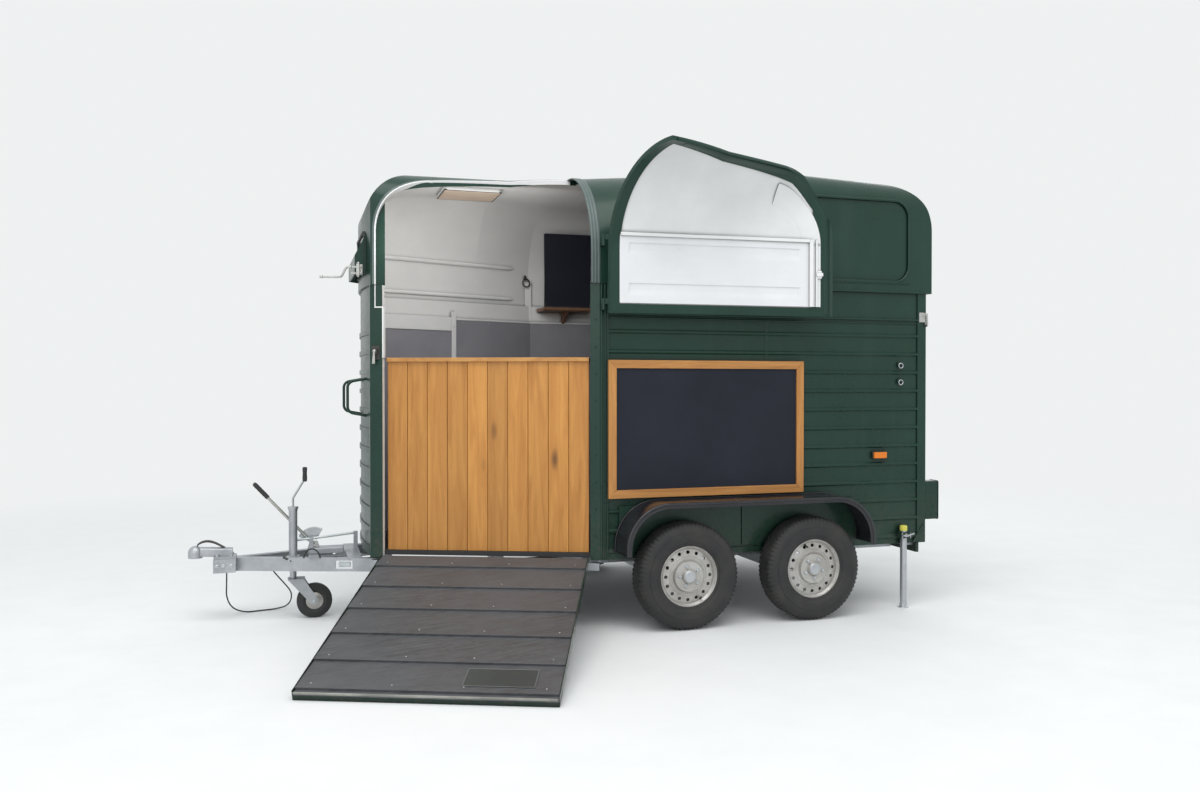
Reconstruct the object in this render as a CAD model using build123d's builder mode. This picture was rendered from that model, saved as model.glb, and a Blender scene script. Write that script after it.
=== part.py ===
from build123d import *
from math import asin, atan, cos, degrees, radians, sin, tan
import os

# Vintage twin-axle horse trailer turned into an ice cream serving trailer.
# Millimetres, Z up. The pieces are drawn in the trailer's own layout: X = 0 at the post where
# the front half starts to taper, X grows towards the rear, Y = 0 on the centre line with the
# serving side at negative Y, and Z = 0 on the ground. The finished pieces are then moved so
# that the origin is at the bottom centre of the whole object's box.
os.makedirs("parts", exist_ok=True)

# Body, driving sizes
half_width = 856
taper_angle = 22.4
taper_length = 1293
rear_x = 2113
sill_z = 386
belt_z = 1750
seam_z = 1920
wall = 30
front_bow = 26
post_proud = 8

# Roof, driving sizes
roof_proud = 15
roof_thickness = 30
front_crown_z = 2562
fore_crown_z = 2563
post_crown_z = 2565
mid_crown_z = 2622
rear_crown_z = 2585
fore_roof_x = -400
mid_roof_x = 1200
roof_end_margin = 160
front_shoulder = 90
fore_shoulder = 480
post_shoulder = 480
rear_shoulder = 170
front_top_radius = 300
rear_top_radius = 280
roof_rear_overhang = 21

# Horizontal ribs of the lower walls
rib_count = 12
rib_pitch = 111.5
top_rib_z = 1657
rib_height = 26
rib_depth = 8

# Serving opening in the near tapered wall, along the wall from the post
opening_front_s = 1270
opening_corner = 300
opening_reach = 476
front_post_width = 68
middle_post_reach = 50

# Top door over the serving opening
door_gap = 5
door_thickness = 22
door_skin = 8
door_lap = 15
door_front_lap = 55
door_corner = 400
door_rim = 50
door_edge_gap = 5
door_hinge_x = 2
door_hinge_out = 69
door_open_angle = 199.5
door_hinge_heights = (1800, 2150)

# Hinges: half of the knuckle is on the frame with the pin, the other half on the moving piece
pin_radius = 5
pin_clearance = 0.05
knuckle_radius = 11
knuckle_length = 60
knuckle_gap = 1
leaf_thickness = 6
leaf_reach = 60
body_clearance = 0.3

# Ramp of the serving opening
ramp_length = 1350
ramp_thickness = 40
ramp_side_gap = 10
ramp_hinge_out = 22
ramp_hinge_z = 375
ramp_edge_gap = 16
ramp_hinge_count = 3
sill_depth = 40
sill_out = 12
slat_count = 7
slat_height = 6
slat_width = 30
slat_first = 175
slat_pitch = 180

# Counter in the opening
counter_out = -46
counter_end_gap = 12
counter_thickness = 24
counter_top_z = 1490
board_count = 10
board_groove = 6
ledge_thickness = 20
ledge_depth = 240
ledge_nose = 14
ledge_corner = 6

# Floor and chassis
floor_z = 421
floor_thickness = 25
rail_inset = 296
rail_width = 60
rail_height = 46
member_height = 30
cross_member_count = 6

# Wheels and axles
tyre_radius = 298
tyre_width = 165
tyre_shoulder = 30
tyre_bulge_z = 62
bead_inset = 22
rim_radius = 168
wheel_outer_reach = 184
hub_radius = 60
first_axle_x = 470
second_axle_x = 1248
axle_tube = 60
stub_radius = 18
stub_clearance = 0.05
wheel_hole_count = 16
wheel_hole_radius = 10
wheel_hole_circle = 132

# Drawbar, coupling and jockey wheel
drawbar_height = 76
drawbar_width = 44
drawbar_web = 6
drawbar_top_z = 366
drawbar_rear_inset = 336
drawbar_front_y = 48
drawbar_front_x = -1930
coupling_ball_x = -2150
coupling_ball_z = 400
ball_radius = 25
ball_clearance = 0.3
cup_radius = 39
jockey_x = -1617
jockey_y = -66
jockey_tube_radius = 24
jockey_stem_radius = 19
jockey_trail = 118
jockey_wheel_radius = 100
jockey_wheel_width = 60

# Electric lead, from its gland on the far member to the plug in its holder
lead_radius = 4
gland_x = -1740
gland_z = 328
gland_nut = 8
gland_nut_radius = 13
gland_length = 24
gland_taper = 8
plug_x = -1990
plug_radius = 22
plug_length = 84

# Mudguards
guard_reach = 206
guard_thickness = 4
guard_top_z = 712

# Rear ramp and rear top doors
rear_post_width = 92
rear_post_depth = 60
rear_ramp_thickness = 40
rear_gap = 8
rear_ramp_low_z = 392
rear_ramp_top_z = 1742
rear_ramp_inset = 32
rear_door_top_z = 2290
rear_door_thickness = 28

# Framed sign on the near side wall
sign_x0 = 45
sign_x1 = 1255
sign_z0 = 727
sign_z1 = 1497
sign_frame_width = 46
sign_thickness = 22

# Rear lamp boxes and side lamps
lamp_box_depth = 99
lamp_box_z0 = 525
lamp_box_z1 = 762
lamp_box_width = 84
side_lamp_x = 1780
side_lamp_z = 932
side_lamp_length = 92
side_lamp_height = 42
side_lamp_depth = 20

# Prop stands under the rear corners
stand_x = 1940
stand_out = 32
stand_tube_radius = 20
stand_length = 497

# Worked out sizes
taper = radians(taper_angle)
front_x = -taper_length * cos(taper)
front_half = half_width - taper_length * sin(taper)
opening_y = opening_reach - half_width
door_hinge_y = -half_width - door_hinge_out
wheel_outer_y = half_width + wheel_outer_reach
rail_y = half_width - rail_inset
drawbar_rear_y = half_width - drawbar_rear_inset
stand_y = half_width + stand_out
guard_end = half_width + guard_reach
axle_z = tyre_radius
ramp_drop = asin(ramp_hinge_z / ramp_length)
up = Vector(0, 0, 1)
near_out = Vector(-sin(taper), -cos(taper), 0)
far_out = Vector(-sin(taper), cos(taper), 0)
near_along = Vector(-cos(taper), sin(taper), 0)
near_post = Vector(0, -half_width, 0)
far_front = Vector(front_x, front_half, 0)
roof_rear_x = rear_x + roof_proud + roof_rear_overhang

# Extent of the whole object, for its frame
ramp_tip_out = ramp_hinge_out + ramp_length * cos(ramp_drop) + ramp_thickness * sin(ramp_drop)
ramp_tip = near_post + near_out * ramp_tip_out + near_along * (middle_post_reach + ramp_side_gap)
near_extent = ramp_tip.Y
far_extent = guard_end
front_extent = coupling_ball_x - cup_radius
rear_extent = rear_x + lamp_box_depth
frame_shift = Location((-(front_extent + rear_extent) / 2, -(near_extent + far_extent) / 2, 0))


def finish(builder, label):
    """Label a finished piece, move it into the object's frame and write it."""
    piece = builder.part
    piece.label = label
    export_step(piece.moved(frame_shift), f"parts/{label}.step")


def wall_plane(start, outward):
    """Plane across a wall: local x points out, local y up, and it extrudes along the wall."""
    return Plane(origin=start, x_dir=outward, z_dir=outward.cross(up))


def near_wall_plane(out):
    """Plane of the near tapered wall, moved out: local x runs forward, local y up."""
    return Plane(origin=near_post + near_out * out, x_dir=near_along, z_dir=near_along.cross(up))


def roof_half_width(x):
    """Half the roof's width at a station: straight behind the post and tapered before it."""
    return half_width + min(x, 0) * tan(taper)


# Roof stations: X, shoulder radius, crown height
roof_stations = ((front_x - roof_end_margin, front_shoulder, front_crown_z),
                 (fore_roof_x, fore_shoulder, fore_crown_z),
                 (0, post_shoulder, post_crown_z),
                 (mid_roof_x, rear_shoulder, mid_crown_z),
                 (roof_rear_x + roof_end_margin, rear_shoulder, rear_crown_z))


def roof_top_z(x, y, grow):
    """Height of the grown roof above a plan point, from the stations on both sides of it."""
    for start, end in zip(roof_stations, roof_stations[1:]):
        if start[0] <= x <= end[0]:
            share = (x - start[0]) / (end[0] - start[0])
            radius = start[1] + share * (end[1] - start[1]) + grow
            crown = start[2] + share * (end[2] - start[2]) + grow
    across = max(abs(y) - (roof_half_width(x) + grow - radius), 0)
    return crown - radius + (radius ** 2 - across ** 2) ** 0.5


def roof_envelope(grow, bottom_z):
    """Roof form grown outward by a distance, as a solid block down to a height."""
    with BuildPart() as envelope:
        for x, shoulder, crown in roof_stations:
            half = roof_half_width(x) + grow
            radius = shoulder + grow
            top = crown + grow
            with BuildSketch(Plane.YZ.offset(x)):
                with BuildLine():
                    Line((-half, bottom_z), (-half, top - radius))
                    RadiusArc((-half, top - radius), (-half + radius, top), radius)
                    Line((-half + radius, top), (half - radius, top))
                    RadiusArc((half - radius, top), (half, top - radius), radius)
                    Line((half, top - radius), (half, bottom_z))
                    Line((half, bottom_z), (-half, bottom_z))
                make_face()
        loft(ruled=True)
        front = front_x - front_bow - grow
        rear = roof_rear_x - roof_proud + grow
        front_top = front_crown_z + grow
        rear_top = rear_crown_z + grow
        front_round = front_top_radius + grow
        rear_round = rear_top_radius + grow
        front_spring = front_top - front_round
        rear_spring = rear_top - rear_round
        clear = 3
        below = bottom_z - 100
        with BuildSketch(Plane.XZ):
            with BuildLine():
                Line((front, below), (front, front_spring))
                RadiusArc((front, front_spring), (front + front_round, front_top), front_round)
                Polyline((front + front_round, front_top), (0, post_crown_z + grow + clear),
                         (mid_roof_x, mid_crown_z + grow + clear), (rear - rear_round, rear_top))
                RadiusArc((rear - rear_round, rear_top), (rear, rear_spring), rear_round)
                Polyline((rear, rear_spring), (rear, below), (front, below))
            make_face()
        extrude(amount=2 * half_width, both=True, mode=Mode.INTERSECT)
        corner_y = front_half + grow + 40
        corner_x = front_x - grow + 20
        past_side = 2 * half_width
        with BuildSketch(Plane.XY.offset(below)):
            with BuildLine():
                ThreePointArc((corner_x, -corner_y), (front, 0), (corner_x, corner_y))
                Polyline((corner_x, corner_y), (corner_x, past_side), (2 * roof_rear_x, past_side),
                         (2 * roof_rear_x, -past_side), (corner_x, -past_side), (corner_x, -corner_y))
            make_face()
        extrude(amount=front_crown_z, mode=Mode.INTERSECT)
    return envelope.part


def opening_prism(bottom_z, front_s, corner, grow, y_limit, x_limit):
    """Block whose outline is that of the serving opening, for cutting the roof or the door.

    The arc of its front corner ends where it meets the roof's surface at the crown edge.
    """
    arc_end_x = -(front_s - corner - (y_limit + half_width) * sin(taper)) / cos(taper)
    top_z = roof_top_z(arc_end_x, y_limit, grow)
    past_post = half_width * tan(taper)
    past_roof = top_z + half_width
    with BuildPart() as prism:
        with BuildSketch(near_wall_plane(0)):
            with BuildLine():
                Polyline((-past_post, bottom_z), (front_s, bottom_z), (front_s, top_z - corner))
                RadiusArc((front_s, top_z - corner), (front_s - corner, top_z), -corner)
                Polyline((front_s - corner, top_z), (front_s - corner, past_roof), (-past_post, past_roof),
                         (-past_post, bottom_z))
            make_face()
        extrude(amount=2 * half_width, both=True)
        with BuildSketch(Plane.XY.offset(bottom_z)):
            with BuildLine():
                Polyline((x_limit, y_limit), (x_limit, -2 * half_width), (2 * front_x, -2 * half_width),
                         (2 * front_x, y_limit), (x_limit, y_limit))
            make_face()
        extrude(amount=past_roof, mode=Mode.INTERSECT)
    return prism.part


def ribbed_wall(start, outward, length):
    """Lower wall of ribbed planks, as one profile run along the wall."""
    with BuildPart() as panel:
        with BuildSketch(wall_plane(start, outward)):
            outline = [(-wall, sill_z), (0, sill_z)]
            for index in reversed(range(rib_count)):
                z = top_rib_z - index * rib_pitch
                outline += [(0, z - rib_height / 2), (rib_depth, z - rib_height / 5),
                            (rib_depth, z + rib_height / 5), (0, z + rib_height / 2)]
            outline += [(0, seam_z), (-wall, seam_z), (-wall, sill_z)]
            with BuildLine():
                Polyline(*outline)
            make_face()
        extrude(amount=length)
    return panel.part


def half_inside(x, inset):
    """Half width of the floor plan at a station, set in from the outer wall faces."""
    straight = half_width - inset
    tapered = half_width - inset / cos(taper) + x * tan(taper)
    return min(straight, tapered)


def near_point(along, out):
    """Plan point on the near tapered wall, as X and Y."""
    point = near_post + near_along * along + near_out * out
    return (point.X, point.Y)


def hinge_half(place, with_pin, leaf):
    """Half a butt hinge: the frame's half with the pin, or the moving half with the bore.

    The plane's origin is the middle of the hinge and its z is the pin's axis. The leaf is an
    outline in that plane.
    """
    half = knuckle_length / 2
    start = -half if with_pin else knuckle_gap / 2
    with BuildPart() as hinge:
        with BuildSketch(place.offset(start)):
            Circle(knuckle_radius)
            with BuildLine():
                Polyline(*leaf, close=True)
            make_face()
        extrude(amount=half - knuckle_gap / 2)
        with BuildSketch(place.offset(-half)):
            Circle(pin_radius if with_pin else pin_radius + pin_clearance)
        extrude(amount=knuckle_length, mode=Mode.ADD if with_pin else Mode.SUBTRACT)
    return hinge.part


# Roof shell with the serving opening, side recesses, rear doorway and front window cut out
window_half = front_half - 93
window_low = 2010
window_high = 2235
window_corner = 50
window_plane_x = front_x - 200
window_cut = 260
doorway_height = 600
doorway_corner = 60
recess_depth = 10
recess_x0, recess_x1 = 1010, 1985
recess_z0, recess_z1 = 1985, 2480
recess_corner = 100
outer_roof = roof_envelope(roof_proud, seam_z)
inner_roof = roof_envelope(roof_proud - roof_thickness, seam_z - 10)
doorway_half = half_width - rear_post_width
with BuildPart() as roof_shell:
    add(outer_roof)
    add(inner_roof, mode=Mode.SUBTRACT)
    add(opening_prism(seam_z - 20, opening_front_s, opening_corner, roof_proud, opening_y, 0),
        mode=Mode.SUBTRACT)
    with BuildSketch(Plane.YZ.offset(rear_x - rear_post_depth)):
        with Locations((0, rear_door_top_z + rear_gap - doorway_height / 2)):
            RectangleRounded(2 * doorway_half, doorway_height, doorway_corner)
        with Locations((0, seam_z)):
            Rectangle(2 * doorway_half, doorway_height / 3)
    extrude(amount=roof_rear_x - rear_x + 2 * rear_post_depth, mode=Mode.SUBTRACT)
    with BuildSketch(Plane.YZ.offset(window_plane_x)):
        with Locations((0, (window_low + window_high) / 2)):
            RectangleRounded(2 * window_half, window_high - window_low, window_corner)
    extrude(amount=window_cut, mode=Mode.SUBTRACT)
    for side in (-1, 1):
        with BuildSketch(Plane.XZ.offset(-side * (half_width + roof_proud - recess_depth))):
            with Locations(((recess_x0 + recess_x1) / 2, (recess_z0 + recess_z1) / 2)):
                RectangleRounded(recess_x1 - recess_x0, recess_z1 - recess_z0, recess_corner)
        extrude(amount=-side * 2 * roof_thickness, mode=Mode.SUBTRACT)
finish(roof_shell, "roof_shell")

# Window pane in the front of the roof, and the hood over it
pane_thickness = 6
pane_gap = 0.3
with BuildPart() as front_window:
    add(roof_envelope(pane_thickness / 2, window_low - 40))
    add(roof_envelope(-pane_thickness / 2, window_low - 60), mode=Mode.SUBTRACT)
    with BuildSketch(Plane.YZ.offset(window_plane_x)):
        with Locations((0, (window_low + window_high) / 2)):
            RectangleRounded(2 * (window_half - pane_gap), window_high - window_low - 2 * pane_gap,
                             window_corner - pane_gap)
    extrude(amount=window_cut, mode=Mode.INTERSECT)
finish(front_window, "front_window")

hood_half = window_half + 15
hood_wall = 8
hood_root_x = front_x + 40
hood_nose_x = front_x - 84
hood_profile = ((hood_root_x, window_high + 110), (hood_nose_x, window_low + 85),
                (hood_nose_x, window_low - 10), (hood_root_x, window_low - 25))
with BuildPart() as front_hood:
    with BuildSketch(Plane.XZ):
        with BuildLine():
            Polyline(*hood_profile, close=True)
        make_face()
    extrude(amount=hood_half, both=True)
    with BuildSketch(Plane.XZ):
        with BuildLine():
            Polyline((hood_root_x, window_high + 95), (hood_nose_x + hood_wall, window_low + 80),
                     (hood_nose_x + hood_wall, window_low - 50), (hood_root_x, window_low - 50), close=True)
        make_face()
    extrude(amount=hood_half - hood_wall, both=True, mode=Mode.SUBTRACT)
    add(outer_roof, mode=Mode.SUBTRACT)
finish(front_hood, "front_hood")

# Lower walls
rear_wall_x0 = middle_post_reach
rear_wall_x1 = rear_x - rear_post_depth
rear_wall_length = rear_wall_x1 - rear_wall_x0
with BuildPart() as side_wall_near:
    add(ribbed_wall(Vector(rear_wall_x1, -half_width, 0), Vector(0, -1, 0), rear_wall_length))
finish(side_wall_near, "side_wall_near")
with BuildPart() as side_wall_far:
    add(ribbed_wall(Vector(rear_wall_x0, half_width, 0), Vector(0, 1, 0), rear_wall_length))
finish(side_wall_far, "side_wall_far")
far_wall_length = taper_length - front_post_width - middle_post_reach
far_wall_start = far_front + Vector(cos(taper), sin(taper), 0) * front_post_width
with BuildPart() as front_wall_far:
    add(ribbed_wall(far_wall_start, far_out, far_wall_length))
finish(front_wall_far, "front_wall_far")

# Bowed and ribbed front panel
panel_half = front_half - 12
rib_middles = [top_rib_z - index * rib_pitch for index in range(rib_count)]
# Bands: low height, high height, distance out
panel_bands = [(sill_z, seam_z, 0)]
panel_bands += [(middle - rib_height / 2, middle + rib_height / 2, rib_depth) for middle in rib_middles]
with BuildPart() as front_panel:
    for low, high, out in panel_bands:
        with BuildSketch(Plane.XY.offset(low)):
            with BuildLine():
                ThreePointArc((front_x - out, -panel_half), (front_x - front_bow - out, 0),
                              (front_x - out, panel_half))
                Line((front_x - out, panel_half), (front_x + wall, panel_half))
                ThreePointArc((front_x + wall, panel_half), (front_x - front_bow + wall, 0),
                              (front_x + wall, -panel_half))
                Line((front_x + wall, -panel_half), (front_x - out, -panel_half))
            make_face()
        extrude(amount=high - low)
finish(front_panel, "front_panel")

# Posts: the middle posts at the bend and the front corner posts, one pair on each side
middle_corner_x = -post_proud * tan(taper / 2)
middle_profile = [near_point(middle_post_reach, post_proud), (middle_corner_x, -half_width - post_proud),
                  (middle_post_reach, -half_width - post_proud), (middle_post_reach, -half_width + wall),
                  (wall * tan(taper / 2), -half_width + wall), near_point(middle_post_reach, -wall)]
post_front_x = front_x - post_proud
front_profile = [near_point(taper_length - front_post_width, post_proud),
                 near_point(taper_length + post_proud / 2, post_proud),
                 (post_front_x, -panel_half), (front_x + wall, -panel_half),
                 near_point(taper_length - front_post_width, -wall)]
for side_name, sign in (("near", 1), ("far", -1)):
    with BuildPart() as posts:
        for profile in (middle_profile, front_profile):
            with BuildSketch(Plane.XY.offset(sill_z)):
                with BuildLine():
                    Polyline(*[(x, sign * y) for x, y in profile], close=True)
                make_face()
            extrude(amount=seam_z - sill_z)
    finish(posts, f"body_posts_{side_name}")

# Rear frame: corner posts and the sill between them
rear_sill_drop = 60
rear_sill_thickness = 18
rear_post_reach = rear_post_width + post_proud
with BuildPart() as rear_frame:
    for side in (-1, 1):
        with BuildSketch(Plane.XY.offset(sill_z)):
            with Locations((rear_x - rear_post_depth / 2, side * (doorway_half + rear_post_reach / 2))):
                Rectangle(rear_post_depth, rear_post_reach)
        extrude(amount=seam_z - sill_z)
    with BuildSketch(Plane.XY.offset(sill_z - rear_sill_drop)):
        with Locations((rear_x - rear_post_depth + rear_sill_thickness / 2, 0)):
            Rectangle(rear_sill_thickness, 2 * (doorway_half + rear_post_width))
    extrude(amount=floor_z - sill_z + rear_sill_drop)
finish(rear_frame, "rear_frame")

# Floor deck inside the walls
deck_front_x = front_x + wall
deck_rear_x = rear_x - rear_post_depth
deck_bend_x = wall * tan(taper / 2)
with BuildPart() as floor_deck:
    with BuildSketch(Plane.XY.offset(floor_z - floor_thickness)):
        with BuildLine():
            front_corner = (deck_front_x, half_inside(deck_front_x, wall))
            bend_corner = (deck_bend_x, half_width - wall)
            rear_corner = (deck_rear_x, half_width - wall)
            Polyline(front_corner, bend_corner, rear_corner)
            Polyline((front_corner[0], -front_corner[1]), (bend_corner[0], -bend_corner[1]),
                     (rear_corner[0], -rear_corner[1]))
            Line(rear_corner, (rear_corner[0], -rear_corner[1]))
            ThreePointArc(front_corner, (deck_front_x - front_bow, 0), (front_corner[0], -front_corner[1]))
        make_face()
    extrude(amount=floor_thickness)
finish(floor_deck, "floor_deck")

# Counter panel of grooved boards, with the ledge behind it
counter_s0 = middle_post_reach + counter_end_gap
counter_s1 = taper_length - front_post_width - counter_end_gap
counter_length = counter_s1 - counter_s0
board_pitch = counter_length / board_count
with BuildPart() as counter_panel:
    with BuildSketch(near_wall_plane(counter_out)):
        with Locations(((counter_s0 + counter_s1) / 2, (floor_z + counter_top_z) / 2)):
            Rectangle(counter_length, counter_top_z - floor_z)
    extrude(amount=counter_thickness)
    for index in range(1, board_count):
        groove_s = counter_s0 + index * board_pitch
        with BuildSketch(Plane(origin=near_post + near_along * groove_s + near_out * counter_out,
                               x_dir=near_along, z_dir=up)):
            with BuildLine():
                Polyline((-board_groove / 2, 1), (board_groove / 2, 1), (0, -board_groove / 2), close=True)
            make_face()
        extrude(amount=counter_top_z + 1, mode=Mode.SUBTRACT)
finish(counter_panel, "counter_panel")

# Ledge on top of the counter panel
with BuildPart() as counter_ledge:
    with BuildSketch(Plane.XY.offset(counter_top_z)):
        with BuildLine():
            Polyline(near_point(counter_s0, counter_out + ledge_nose),
                     near_point(counter_s1, counter_out + ledge_nose),
                     near_point(counter_s1, counter_out - ledge_depth),
                     near_point(counter_s0, counter_out - ledge_depth), close=True)
        make_face()
    extrude(amount=ledge_thickness)
    fillet(counter_ledge.edges().filter_by(Axis.Z), ledge_corner)
finish(counter_ledge, "counter_ledge")

# Top door, drawn closed over the opening and then swung open on its hinge
door_inner = roof_proud + door_gap
door_outer = door_inner + door_thickness
door_front_s = opening_front_s + door_front_lap
door_y = opening_y + door_lap
door_outline = opening_prism(belt_z, door_front_s, door_corner, door_outer, door_y, -door_edge_gap)
door_pocket = opening_prism(belt_z + door_rim, door_front_s - door_rim, door_corner - door_rim,
                            door_outer, door_y - door_rim, -door_edge_gap - door_rim)
door_swing = Axis((door_hinge_x, door_hinge_y, 0), (0, 0, 1))
door_bottom = belt_z - 60
with BuildPart() as door_closed:
    add(roof_envelope(door_outer, door_bottom))
    add(roof_envelope(door_inner, door_bottom - 40), mode=Mode.SUBTRACT)
    add(door_outline, mode=Mode.INTERSECT)
with BuildPart() as door_pocket_fill:
    add(roof_envelope(door_outer - door_skin, door_bottom))
    add(roof_envelope(door_inner - 20, door_bottom - 40), mode=Mode.SUBTRACT)
    add(door_pocket, mode=Mode.INTERSECT)
door_leaf_step = 8
door_leaf_reach = door_rim - 5
door_leaf_sink = 10


def door_face(x):
    """Outer face of the closed door near the hinge, as its distance in from the pin's line."""
    return door_hinge_out - door_outer - (door_hinge_x + x) * tan(taper)


door_leaf = ((0, knuckle_radius / 2), (-door_leaf_reach, door_face(-door_leaf_reach) - leaf_thickness),
             (-door_leaf_reach, door_face(-door_leaf_reach) + door_leaf_sink),
             (-door_leaf_step, door_face(-door_leaf_step) + door_leaf_sink), (0, knuckle_radius))
post_face = door_hinge_out - post_proud
post_leaf_width = 10
post_leaf = ((0, 0), (post_leaf_width, 0), (post_leaf_width, post_face), (0, post_face))
door_hinge_planes = [Plane(origin=(door_hinge_x, door_hinge_y, height)) for height in door_hinge_heights]
with BuildPart() as side_door:
    add(door_closed.part)
    add(door_pocket_fill.part, mode=Mode.SUBTRACT)
    for place in door_hinge_planes:
        add(hinge_half(place, False, door_leaf))
    add(side_door.part.rotate(door_swing, door_open_angle), mode=Mode.REPLACE)
finish(side_door, "side_door")

# White lining inside the door
lining_thickness = 8
lining_gap = 0.3
lining_face = door_outer - door_skin - lining_gap
lining_inset = door_rim + lining_gap
with BuildPart() as door_lining:
    add(roof_envelope(lining_face, door_bottom))
    add(roof_envelope(lining_face - lining_thickness, door_bottom - 40), mode=Mode.SUBTRACT)
    add(opening_prism(belt_z + lining_inset, door_front_s - lining_inset, door_corner - door_rim,
                      door_outer, door_y - lining_inset, -door_edge_gap - lining_inset),
        mode=Mode.INTERSECT)
    add(door_lining.part.rotate(door_swing, door_open_angle), mode=Mode.REPLACE)
finish(door_lining, "door_lining")

# The frame's halves of the top door's hinges, on the middle post and the roof's edge
with BuildPart() as door_hinges:
    for place in door_hinge_planes:
        add(hinge_half(place, True, post_leaf))
    add(outer_roof, mode=Mode.SUBTRACT)
finish(door_hinges, "door_hinges")

# Ramp of the serving opening, drawn down on the ground
ramp_s0 = middle_post_reach + ramp_side_gap
ramp_s1 = taper_length - front_post_width - ramp_side_gap
ramp_along = near_out * cos(ramp_drop) - up * sin(ramp_drop)
ramp_up = near_out * sin(ramp_drop) + up * cos(ramp_drop)
ramp_origin = near_post + near_out * ramp_hinge_out + up * ramp_hinge_z + near_along * ramp_s0
ramp_plane = Plane(origin=ramp_origin, x_dir=near_along, z_dir=ramp_up)
ramp_width = ramp_s1 - ramp_s0
ramp_rim = 40
ramp_board = 18
ramp_depth = ramp_length - ramp_edge_gap
ramp_middle = Location((ramp_width / 2, (ramp_length + ramp_edge_gap) / 2))
ramp_hinge_pitch = (ramp_width - 4 * knuckle_length) / (ramp_hinge_count - 1)
ramp_hinge_places = [2 * knuckle_length + index * ramp_hinge_pitch for index in range(ramp_hinge_count)]
ramp_leaf_sink = 2
ramp_leaf = ((0, -leaf_thickness), (leaf_reach, -leaf_thickness), (leaf_reach, ramp_leaf_sink),
             (0, ramp_leaf_sink))
sill_face = sill_out - ramp_hinge_out
sill_leaf = ((sill_face, -42), (sill_face + 7, -42), (4, 0), (sill_face, 0))
with BuildPart() as ramp_frame:
    with BuildSketch(ramp_plane):
        with Locations(ramp_middle):
            Rectangle(ramp_width, ramp_depth)
            Rectangle(ramp_width - 2 * ramp_rim, ramp_depth - 2 * ramp_rim, mode=Mode.SUBTRACT)
            with GridLocations(0, (ramp_depth - ramp_rim) / 4, 1, 3):
                Rectangle(ramp_width - 2 * ramp_rim, ramp_rim)
    extrude(amount=ramp_thickness - ramp_board)
    for along in ramp_hinge_places:
        add(hinge_half(Plane(origin=ramp_origin + near_along * along, x_dir=ramp_along, z_dir=near_along),
                       False, ramp_leaf))
finish(ramp_frame, "ramp_frame")
with BuildPart() as ramp_deck:
    with BuildSketch(ramp_plane.offset(ramp_thickness - ramp_board)):
        with Locations(ramp_middle):
            Rectangle(ramp_width, ramp_depth)
    extrude(amount=ramp_board)
    with BuildSketch(ramp_plane.offset(ramp_thickness)):
        for index in range(slat_count):
            with Locations((ramp_width / 2, slat_first + index * slat_pitch)):
                Rectangle(ramp_width, slat_width)
    extrude(amount=slat_height)
finish(ramp_deck, "ramp_deck")
with BuildPart() as ramp_hinges:
    for along in ramp_hinge_places:
        add(hinge_half(Plane(origin=ramp_origin + near_along * along, x_dir=near_out, z_dir=near_along),
                       True, sill_leaf))
finish(ramp_hinges, "ramp_hinges")

# Framed blank sign on the side wall
sign_y = -half_width - rib_depth
with BuildPart() as sign_frame:
    with BuildSketch(Plane.XZ.offset(-sign_y)):
        with Locations(((sign_x0 + sign_x1) / 2, (sign_z0 + sign_z1) / 2)):
            Rectangle(sign_x1 - sign_x0, sign_z1 - sign_z0)
            Rectangle(sign_x1 - sign_x0 - 2 * sign_frame_width, sign_z1 - sign_z0 - 2 * sign_frame_width,
                      mode=Mode.SUBTRACT)
    extrude(amount=sign_thickness)
finish(sign_frame, "sign_frame")
with BuildPart() as sign_board:
    with BuildSketch(Plane.XZ.offset(-sign_y)):
        with Locations(((sign_x0 + sign_x1) / 2, (sign_z0 + sign_z1) / 2)):
            Rectangle(sign_x1 - sign_x0 - 2 * sign_frame_width, sign_z1 - sign_z0 - 2 * sign_frame_width)
    extrude(amount=sign_thickness - 12)
finish(sign_board, "sign_board")

# Inside: kick boards, shelf with its blank board, ceiling light
kick_top_z = 1797
kick_thickness = 12
kick_end_gap = 40
inner_y = half_width - wall
with BuildPart() as kick_boards:
    for side in (-1, 1):
        with BuildSketch(Plane.XY.offset(floor_z)):
            with Locations(((middle_post_reach + rear_wall_x1) / 2, side * (inner_y - kick_thickness / 2))):
                Rectangle(rear_wall_length, kick_thickness)
        extrude(amount=kick_top_z - floor_z)
    with BuildSketch(wall_plane(far_front, far_out)):
        with Locations((-wall - kick_thickness / 2, (floor_z + kick_top_z) / 2)):
            Rectangle(kick_thickness, kick_top_z - floor_z)
    extrude(amount=taper_length - middle_post_reach)
    with BuildSketch(wall_plane(far_front, far_out)):
        with Locations((-wall - kick_thickness / 2, (floor_z + kick_top_z) / 2)):
            Rectangle(kick_thickness, kick_top_z - floor_z)
    extrude(amount=front_post_width + kick_end_gap, mode=Mode.SUBTRACT)
finish(kick_boards, "kick_boards")

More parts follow.
